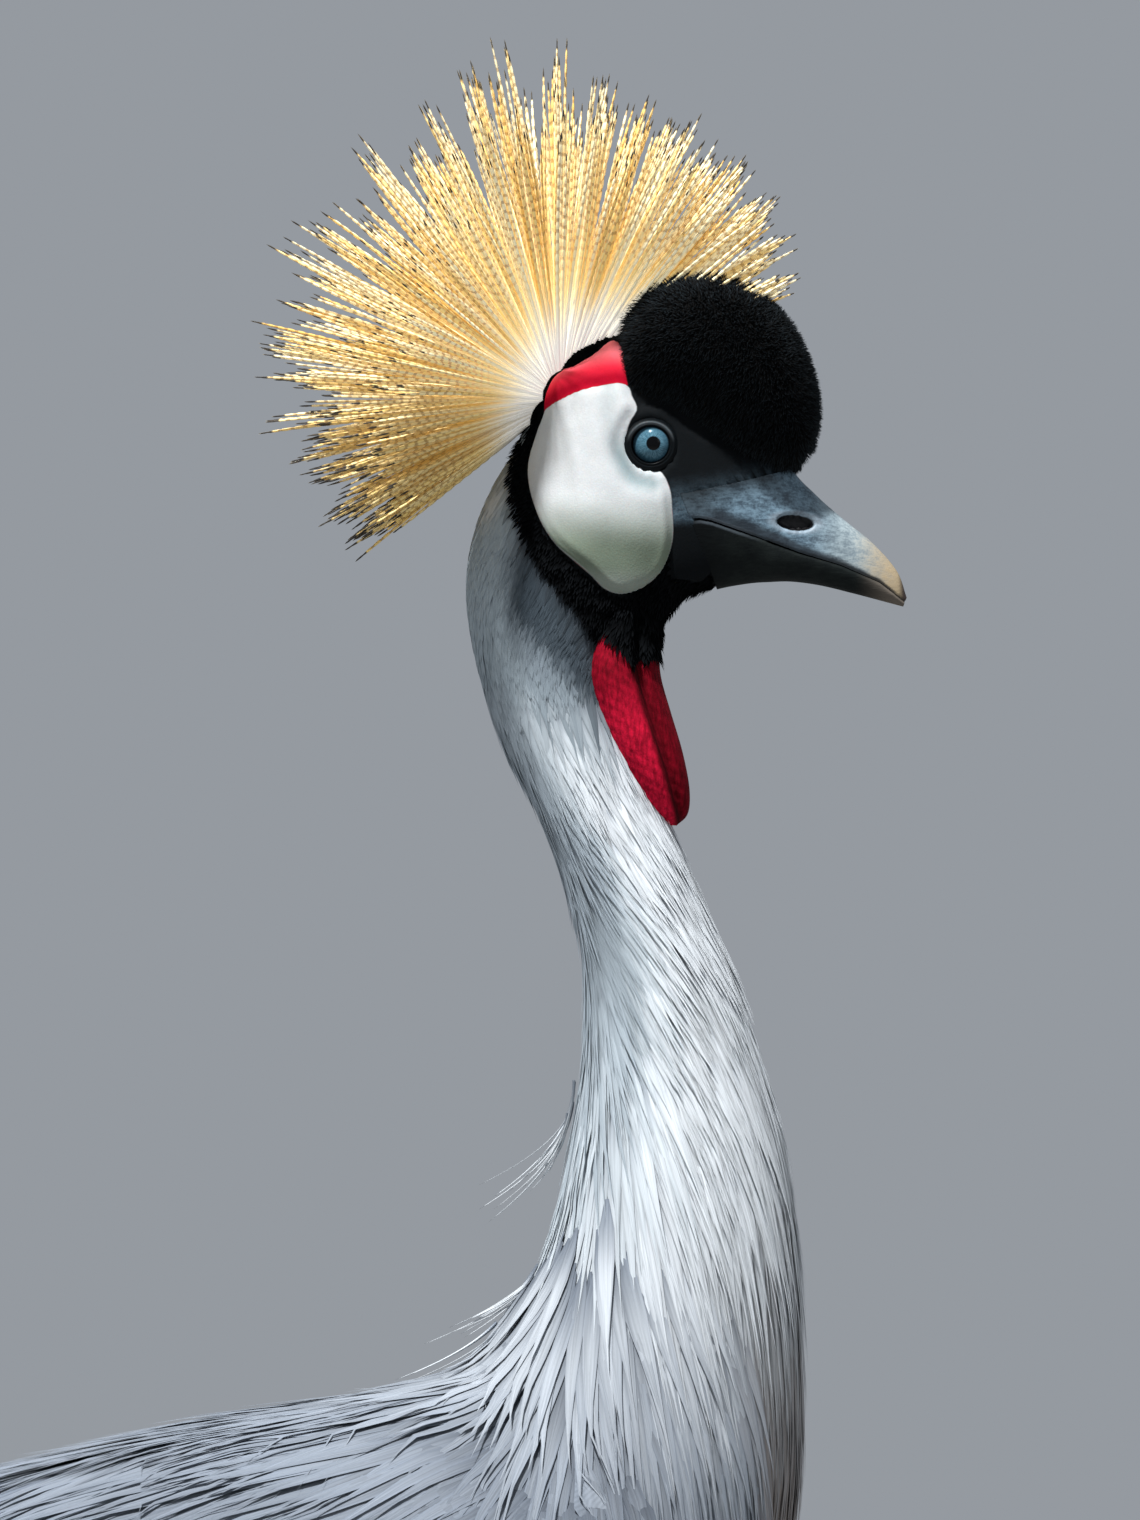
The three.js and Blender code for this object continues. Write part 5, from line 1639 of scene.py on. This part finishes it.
def coat(name, source, area, vane_shape, spacing, length, width, tip_height, stray, lock_size, seed,
         material=feather_material, slot="grey_feathers", power=1.0, arch=0.15, stretch=(1, 1, 1), lift=1.0):
    """One coat piece over part of a bed, in millimetres."""
    keep(run_tree(name, source, feather_coat, {
        "Area": area, "Spacing": spacing * MM, "Length": length * MM, "Width": width * MM,
        "Tip Height": tip_height, "Stray": stray, "Lock Size": lock_size * MM, "Lock Stretch": stretch,
        "Lock Lift": lift, "Vane": vane_shape, "Material": material, "Rise Power": power, "Arch": arch * MM,
        "Seed": seed,
    }), slot)


short_vane = vane("short_vane", 3, 3, lance)
hackle_vane = vane("hackle_vane", 6, 3, wisp)
UPRIGHT = (1, 1, 0.3)
LEVEL = (0.3, 1, 1)
drapes = {name: drape_bed(side) for name, side in SIDES.items()}
mantle = mantle_bed()
throat = throat_bed()

coat("coat_head_down", bed, "in_down", short_vane, 0.8, 6.0, 1.0, 1.15, 0.5, 5, 11, down_material,
     "black_down")
coat("coat_throat", throat, "in_throat", short_vane, 0.8, 5.0, 1.0, 1.0, 0.5, 5, 17, down_material,
     "black_down")
coat("coat_nape", bed, "in_nape", short_vane, 1.3, 20, 2.1, 0.6, 0.22, 9, 12, arch=0.08, stretch=UPRIGHT,
     lift=0.35)
coat("coat_neck", bed, "in_hackles", hackle_vane, 1.75, 44, 3.3, 0.75, 0.32, 11, 13, stretch=UPRIGHT,
     lift=0.8)
coat("coat_breast", bed, "in_breast", hackle_vane, 2.6, 84, 5.4, 0.85, 0.34, 22, 14, stretch=UPRIGHT)
coat("coat_body", bed, "in_body", hackle_vane, 4.2, 66, 8.5, 0.9, 0.4, 30, 15, slot="slate_feathers")
coat("coat_mantle", mantle, "in_mantle", hackle_vane, 3.3, 92, 6.5, 0.9, 0.4, 30, 16, slot="slate_feathers",
     stretch=LEVEL)
for name, drape in drapes.items():
    coat("coat_drape_" + name, drape, "in_drape", hackle_vane, 3.3, 84, 6.5, 0.85, 0.42, 24, 18,
         stretch=(0.6, 1, 0.3), lift=1.1)
remove(mantle, throat, *drapes.values())


# Loose strands at the back of the neck: root X, Z, forward run for each unit of drop, length and curl in X
LOOSE_STRANDS = [
    (1.5, 716, -0.06, 36, -9), (1, 711, -0.12, 42, -24), (0.5, 707, -0.18, 39, -27), (-1, 704, -0.1, 26, -12),
    (-7, 656, -0.4, 33, -22), (-10, 652, -0.5, 30, -27), (-13, 648, -0.5, 22, -16), (-26, 629, -0.9, 30, -18),
]


def loose_strands():
    """Thin strands that have come away from the coat."""
    rows = np.repeat(np.array(LOOSE_STRANDS, float), 3, axis=0)
    rng = np.random.default_rng(61)
    count = len(rows)
    aim = np.stack([rows[:, 2] + rng.normal(0, 0.03, count), rng.normal(0, 0.05, count), -np.ones(count)], -1)
    root = np.stack([rows[:, 0], rng.uniform(-9, 3, count), rows[:, 1] + rng.normal(0, 1.5, count)], -1)
    bow = np.stack([rows[:, 4] * rng.uniform(0.7, 1.1, count), rng.normal(0, 2, count), np.zeros(count)], -1)
    source = make_object("loose_roots", root, [])
    set_attributes(
        source, aim=unit(aim), long=rows[:, 3] * rng.uniform(0.75, 1.05, count) * MM, wide=MM, bow=bow * MM,
        place=np.tile((0.5, 0.04, 0), (count, 1)), tone=rng.uniform(0, 1, count), beads=0,
    )
    plain_marks(source)
    rod = bristle("strand", 16, 3, lambda t: 0.62 * (1 - 0.7 * t))
    values = {"Tuft": rod, "Material": feather_material}
    keep(run_tree("loose_strands", source, placed_bristles, values), "grey_feathers")
    remove(source, rod)


loose_strands()


# Velvet cap
def velvet_cap():
    last = len(CAP_SECTIONS) - 1
    place = np.linspace(0, last, 70)
    turn = np.linspace(0, 2 * np.pi, 97)
    points = ring_points(CAP_SECTIONS, place, turn, -2.2)
    lie = unit(np.array([-0.4, 0, -0.6]) * np.ones_like(points))
    core = tube("cap_core", points[:, :-1])
    source = sheet("cap_bed", points)
    set_attributes(source, up=grid_normals(points, closed=False), lie=lie,
                   place=unwrap(place / last, turn / (2 * np.pi)), long=1, in_cap=1)
    tuft = bristle("cap_tuft", 1, 3, lambda t: 0.5 + 0 * t)
    material = velvet()
    plush = run_tree("cap_plush", source, tufted_coat, {
        "Area": "in_cap", "Spacing": 0.5 * MM, "Length": 3.0 * MM, "Width": 0.62 * MM, "Lean": 0.2,
        "Stray": 0.9, "Lock Size": 5 * MM, "Tuft": tuft, "Material": material, "Seed": 21,
    })
    keep(core, "black_velvet", material=material)
    keep(plush, "black_velvet", "cap")
    remove(source, tuft)


velvet_cap()


# Crest of beaded golden bristles
CREST_SPREAD = [
    (24, 0.08), (45, 0.12), (62, 0.22), (80, 0.38), (105, 0.6), (135, 0.85), (165, 0.92), (218, 0.5),
]
LOCK_ROWS = 25
LOCK_COLUMNS = 4
LOCKS = LOCK_ROWS * LOCK_COLUMNS


def crest_roots(count_round, count_across, seed):
    """Roots of the bristles, and what each carries, spread over the crest's bed and gathered in locks."""
    rng = np.random.default_rng(seed)
    rows, columns = np.meshgrid(np.arange(count_round), np.arange(count_across), indexing="ij")
    share = (rows.ravel() + rng.uniform(0, 1, rows.size)) / count_round
    side = (columns.ravel() + rng.uniform(0, 1, rows.size)) / count_across * 2 - 1
    shifted = share + rng.normal(0, 0.006, share.size)
    lock_row = np.clip(shifted * LOCK_ROWS, 0, LOCK_ROWS - 0.01).astype(int)
    lock_column = np.clip((side + 1) / 2 * LOCK_COLUMNS, 0, LOCK_COLUMNS - 0.01).astype(int)
    lock = lock_row * LOCK_COLUMNS + lock_column
    lock_share = (lock_row + 0.5 + rng.normal(0, 0.22, LOCKS)[lock]) / LOCK_ROWS
    lock_side = (lock_column + 0.5) / LOCK_COLUMNS * 2 - 1
    lock_reach = rng.uniform(0.87, 1.05, LOCKS)[lock]
    lock_tone = rng.uniform(0, 1, LOCKS)[lock]

    def pointing(share, side):
        degrees = CREST["first"] + (CREST["last"] - CREST["first"]) * share
        angle = np.radians(degrees)
        lean = np.radians(side * CREST["sideways"] * read_off(CREST_SPREAD, degrees))
        out = np.stack([np.cos(angle), np.zeros_like(angle), np.sin(angle)], -1)
        aim = out * np.cos(lean)[:, None]
        aim[:, 1] = np.sin(lean)
        return degrees, out, aim

    degrees, out, aim = pointing(share, side)
    _, _, lock_aim = pointing(lock_share, lock_side)
    roots = read_off(CREST_ROOTS, degrees) - 3
    reach = read_off(CREST_REACH, degrees) - roots
    spread = rng.uniform(0.0, 1.0, rows.size) ** 2.2
    off_middle = np.abs((share * LOCK_ROWS) % 1 - 0.5) * 2
    length = reach * (1 - 0.12 * side**2) * lock_reach * (1 - 0.17 * spread) * (1 - 0.10 * off_middle**2)
    root = out * roots[:, None] + np.array([CREST["x"], 0, CREST["z"]])
    root[:, 1] = CREST["bed"] * side * blend(0.3, 1.0, read_off(CREST_SPREAD, degrees))
    aim = unit(aim + rng.normal(0, 0.022, aim.shape))
    bow = (lock_aim - aim) * length[:, None] * 0.55 + rng.normal(0, 1.6, aim.shape) + np.array([0, 0, -1.0])
    place = np.stack([0.02 + 0.96 * share, 0.02 + 0.96 * (side + 1) / 2, np.zeros_like(share)], -1)
    tone = 0.35 * lock_tone + 0.65 * rng.uniform(0, 1, rows.size)
    beads = length / rng.uniform(3.4, 4.8, rows.size)
    kept = rng.uniform(0, 1, rows.size) < blend(0.5, 1.0, ease(32, 72, degrees))
    # low marks bristles that hang down at the back; they are painted in shade and glow less
    carried = {
        "aim": aim, "long": length * MM, "bow": bow * MM, "place": place, "tone": tone, "beads": beads,
        "low": ease(150, 212, degrees),
    }
    return root[kept], {label: values[kept] for label, values in carried.items()}


def golden_crest():
    root, carried = crest_roots(80, 16, 31)
    rod = bristle("crest_bristle", 54, 3, lambda t: 0.72 * (1 - 0.7 * t**12), 0.6)
    material = golden_bristles()
    left = root[:, 1] > 0
    for name, chosen, nodes in (("crest_left", left, ["crest"]), ("crest_right", ~left, [])):
        source = make_object(name + "_roots", root[chosen], [])
        set_attributes(source, wide=MM, **{label: values[chosen] for label, values in carried.items()})
        made = run_tree(name, source, placed_bristles, {"Tuft": rod, "Material": material})
        keep(made, "crest_bristles", *nodes)
        remove(source)
    remove(rod)


golden_crest()


# Wings and tail
def wing_point(side, along, across, lift):
    """A point of the folded wing's outer surface."""
    along, across = np.broadcast_arrays(np.asarray(along, float), np.asarray(across, float))

    def flat(u, v):
        rows = np.array(WING_SECTIONS, float)
        reach = len(rows) - 1
        row = through(rows, np.clip(u, 0, 1) * reach)
        past = np.clip(u - 1, 0, None)[..., None] * reach * (rows[-1] - rows[-2])
        row = row + past
        top = np.stack([row[..., 0], row[..., 2], row[..., 1]], -1)
        low = np.stack([row[..., 0], row[..., 4], row[..., 3]], -1)
        point = blend(top, low, v[..., None])
        point[..., 1] += row[..., 5] * 4 * v * (1 - v)
        return point

    step = 0.01
    lengthwise = flat(along + step, across) - flat(along - step, across)
    crosswise = flat(along, across + step) - flat(along, across - step)
    out = unit(np.cross(crosswise, lengthwise))
    out = out * np.where(out[..., 1:2] < 0, -1, 1)
    point = flat(along, across) + out * np.asarray(lift)[..., None]
    flip = np.array([1, side, 1])
    return point * flip, out * flip


def wing_bed(name, side):
    """The wing's outer surface as a bed, run out past its edges."""
    along, across = np.meshgrid(np.linspace(0.0, 1.12, 80), np.linspace(-0.25, 1.25, 40), indexing="ij")
    points, out = wing_point(side, along, across, np.zeros_like(along))
    made = sheet(name, points)
    set_attribute(made, "up", out)
    return hidden(made)


# Colours of the feathers' root and tip, where one turns to the other, how much feathers differ, how dark
# their edges are, and the colour of the shaft
WING_COLOURS = {
    "black": (rgb(0.012, 0.012, 0.014), rgb(0.006, 0.006, 0.008), (0.2, 0.8), 0.4, 0.2,
              rgb(0.01, 0.01, 0.01)),
    "chestnut": (rgb(0.06, 0.015, 0.008), rgb(0.095, 0.024, 0.011), (0.2, 0.9), 0.4, 0.25,
                 rgb(0.03, 0.008, 0.004)),
    "straw": (rgb(0.55, 0.43, 0.24), rgb(0.68, 0.43, 0.13), (0.1, 0.8), 0.5, 0.3, rgb(0.6, 0.45, 0.25)),
    "white": (rgb(0.55, 0.54, 0.52), rgb(0.8, 0.79, 0.75), (0.0, 0.6), 0.25, 0.18, rgb(0.75, 0.73, 0.68)),
}
# Each layer of the wing: rows, feathers in a row, and as shares of the wing where the roots start and the
# tips end along it, and where roots and tips lie across it. Then width, lift, tip height and cant in
# millimetres, the feather's shape and colour, the seed, how unevenly the feathers stand, and, where there is
# more than one row, their length and how far the rows reach
WING_LAYERS = {
    "primaries": (1, 9, (0.4, 0.36), (0.93, 1.0), (0.7, 0.98), (0.5, 0.9), 26, 1.0, 0.8, 0.5, "flight",
                  "black", 41, 0.04, None),
    "secondaries": (1, 17, (0.34, 0.3), (0.97, 0.8), (0.01, 0.93), (0.02, 1.0), 24, 3.0, 1.2, 0.6, "flight",
                    "chestnut", 42, 0.04, None),
    "plumes": (4, 46, (0.34, 0.30), (0.6, 0.5), (0.02, 0.97), (0.08, 1.08), 5.5, 5.2, 1.6, 0.1, "plume",
               "straw", 43, 0.6, (0.24, 0.55)),
    "coverts": (9, 17, (0.02, 0.0), (0.45, 0.43), (0.2, 0.99), (0.2, 0.99), 14, 7.4, 3.0, 0.5, "covert",
                "white", 44, 0.6, (0.13, 0.82)),
}


def placed_feathers(name, roots, bed, shape, material, slot, node, **carried):
    """Feathers on given roots, laid along a bed."""
    source = make_object(name + "_roots", roots, [])
    set_attributes(source, **carried)
    made = run_tree(name, source, placed_vanes, {
        "Bed": bed, "Vane": shape, "Material": material, "Arch": 0.5 * MM,
    })
    remove(source)
    keep(made, slot, node)


def wing_feather(rng, side, f, down, plan):
    """Root, outward direction, way to the tip and place of one feather."""
    rows, _, start, end, across, tip_across, _, lift, *_, length = plan
    v0, v1 = blend(*across, f), blend(*tip_across, f)
    if rows == 1:
        a0 = blend(*start, f)
        a1 = blend(*end, f) * (1 + rng.normal(0, 0.012))
    else:
        a0 = blend(blend(*start, f), blend(*end, f), down * length[1])
        a1 = a0 + length[0] * (1 + rng.normal(0, 0.06))
        share = (a1 - start[0]) / (end[0] - start[0])
        v0, v1 = blend(v0, v1, np.clip(share - length[0], 0, 1)), blend(v0, v1, np.clip(share, 0, 1))
    root, up = wing_point(side, a0, v0, np.array(lift))
    tip, _ = wing_point(side, a1, v1, np.array(lift))
    return root, up, tip - root, (0.02 + 0.96 * min(a0, 1), 0.02 + 0.96 * v0, 0)


def wing_layer(layer, name, side, bed, shapes, materials):
    """Rows of overlapping feathers, each from its root across the wing to its tip."""
    plan = WING_LAYERS[layer]
    rows, per_row, _, _, _, _, width, lift, high, cant, shape, colour, seed, spread, _ = plan
    rng = np.random.default_rng(seed)
    feathers = []
    for r in range(rows):
        for c in range(per_row):
            f = (c + 0.5 * (r % 2) + 0.25) / per_row
            f = np.clip(f + rng.normal(0, spread / per_row), 0, 1)
            root, up, way, place = wing_feather(rng, side, f, (r + 0.5) / rows, plan)
            long = np.linalg.norm(way)
            level = lift + 0.10 * (per_row - c) / per_row * high + (rows - r) * 0.05
            tone = rng.uniform()
            wide = width * (1 + rng.normal(0, 0.06))
            feathers.append((root, up, way / long, long, level, place, tone, wide))
    roots, ups, lies, longs, levels, places, tones, wides = map(np.array, zip(*feathers))
    placed_feathers(
        f"feathers_{layer}_{name}", roots, bed, shapes[shape], materials[colour], colour + "_feathers",
        f"wing_{layer}_{name}", lie=lies, up=ups, long=longs * MM, wide=wides * MM, high=high * MM,
        root_high=levels * MM, cant=-cant * side * MM, place=places, tone=tones,
    )


def tail_feathers(flight, black):
    """Black tail feathers that droop under the wings."""
    count = TAIL["feathers"]
    share = np.linspace(0, 1.05, 40)
    side = np.linspace(-1.2, 1.2, 31)
    g, s = np.meshgrid(share, side, indexing="ij")
    half = blend(TAIL["root_half"], TAIL["tip_half"], g)
    x = blend(TAIL["root_x"], TAIL["tip_x"], g)
    z = blend(TAIL["root_z"], TAIL["tip_z"], g) + TAIL["sag"] * np.sin(np.pi * np.clip(g, 0, 1)) - 12 * s**2
    points = np.stack([x, s * half, z], -1)
    up = grid_normals(points, closed=False)
    up = up * np.where(up[..., 2:3] < 0, -1, 1)
    surface = hidden(sheet("tail_bed", points))
    set_attribute(surface, "up", up)
    fan = np.linspace(-0.85, 0.85, count)
    index = np.clip(((fan + 1.2) / 2.4 * 30).round().astype(int), 0, 30)
    roots, tips = points[2, index], points[-3, index]
    way = tips - roots
    longs = np.linalg.norm(way, axis=1) * (1 - 0.06 * fan**2)
    placed_feathers(
        "feathers_tail", roots, surface, flight, black, "black_feathers", "tail",
        lie=unit(way), up=up[2, index], long=longs * MM, wide=15 * MM,
        high=0.6 * MM, root_high=(1.5 - np.abs(fan) * 1.4) * MM,
        cant=-0.5 * MM * np.sign(fan),
        place=np.stack([np.full(count, 0.5), 0.5 + 0.4 * fan, np.zeros(count)], -1),
        tone=np.linspace(0.2, 0.8, count),
    )
    remove(surface)


def wings_and_tail():
    shapes = {
        "flight": vane("flight_vane", 26, 9, blade), "plume": vane("plume_vane", 12, 3, lance),
        "covert": vane("covert_vane", 9, 5, oval),
    }
    materials = {name: wing_feathers(name + "_feathers", *look) for name, look in WING_COLOURS.items()}
    for name, side in SIDES.items():
        surface = wing_bed("wing_bed_" + name, side)
        for layer in WING_LAYERS:
            wing_layer(layer, name, side, surface, shapes, materials)
        remove(surface)
    tail_feathers(shapes["flight"], materials["black"])
    remove(*shapes.values())


wings_and_tail()


# Thigh feathers
def thigh_coat(name):
    thigh, _ = leg_rows(name)
    place = np.linspace(0.3, 5.8, 60)
    row = through(thigh, place)
    turn = np.linspace(0, 2 * np.pi, 49)
    x = row[:, 0:1] + row[:, 3:4] * np.cos(turn)
    y = row[:, 1:2] + row[:, 4:5] * np.sin(turn)
    points = np.stack([x, y, np.repeat(row[:, 2:3], len(turn), 1)], -1)
    shrink = blend(1.0, 0.35, (place / 5.8)[:, None] * np.ones_like(x))
    spots = (np.linspace(0, 1, len(place)), np.linspace(0, 1, len(turn)))
    source = make_bed("thigh_bed_" + name, points, grid_normals(points, closed=False),
                      np.gradient(points, axis=0), spots, shrink * 4, shrink, in_thigh=1)
    plain_marks(source, slate=1)
    coat("coat_thigh_" + name, source, "in_thigh", hackle_vane, 3.4, 44, 5.5, 0.9, 0.35, 20, 51,
         slot="slate_feathers")
    remove(source)


for name in SIDES:
    thigh_coat(name)


# Claws
def claws():
    material = claw_horn()
    share = np.linspace(0, 0.985, 26)
    turn = -turns(16)
    for name in FOOT_X:
        for toe, (heading, length, girth) in toes_of(name).items():
            radius = girth * 0.6 * (1 - 0.85 * share) * np.sqrt(np.clip(share / 0.12, 0.1, 1))
            height = blend(girth * 0.6 + 0.6, 1.0, share**2)
            reach = length - 1.2 + CLAW_LENGTH * share
            points = toe_points(name, heading, reach, height, radius[:, None], turn, 0.8)
            made = tube(f"horn_claw_{name}_{toe}", points)
            keep(made, "dark_horn", f"claw_{name}_{toe}", material=material)


claws()
remove(bed, short_vane, hackle_vane)


# Floor, light and camera. Each lamp has its place and size in metres, and its power
LIT_PLACE = (0.12, 0, 0.75)
LAMPS = (
    ("key", (-0.58, -1.38, 4.0), 0.26, 262), ("fill", (2.2, -2.4, 2.2), 1.8, 8),
    ("rim", (-0.6, 1.9, 2.2), 1.2, 16),
)


def stage():
    bpy.ops.mesh.primitive_plane_add(size=8, location=(0, 0, 0))
    floor = bpy.context.object
    floor.name = "floor"
    g = new_material("floor", 0.8)
    grain = g.noise(g.here(), 90.0, 3.0)
    g.give("Base Color", g.colours(grain, rgb(0.27, 0.267, 0.26), rgb(0.3, 0.297, 0.29)))
    floor.data.materials.append(g.material)

    world = bpy.data.worlds.new("studio")
    world.use_nodes = True
    back = world.node_tree.nodes["Background"]
    back.inputs["Color"].default_value = rgb(0.40, 0.43, 0.47)
    back.inputs["Strength"].default_value = 0.75
    bpy.context.scene.world = world

    for name, place, size, power in LAMPS:
        light = bpy.data.lights.new(name, "AREA")
        light.energy = power
        light.size = size
        lamp = show(name, light)
        lamp.location = place
        aim = Vector(LIT_PLACE) - Vector(place)
        lamp.rotation_euler = aim.to_track_quat("-Z", "Y").to_euler()

    lens = bpy.data.cameras.new("camera")
    lens.sensor_width = 36
    lens.lens = lens.sensor_width * CAMERA_DISTANCE / PHOTO_HEIGHT
    lens.clip_end = 100
    camera = show("camera", lens)
    camera.location = in_frame([0, -CAMERA_DISTANCE, PHOTO_MIDDLE_Z])[0]
    camera.rotation_euler = (math.pi / 2, 0, 0)
    bpy.context.scene.camera = camera
    bpy.context.scene.view_settings.view_transform = "Standard"


stage()
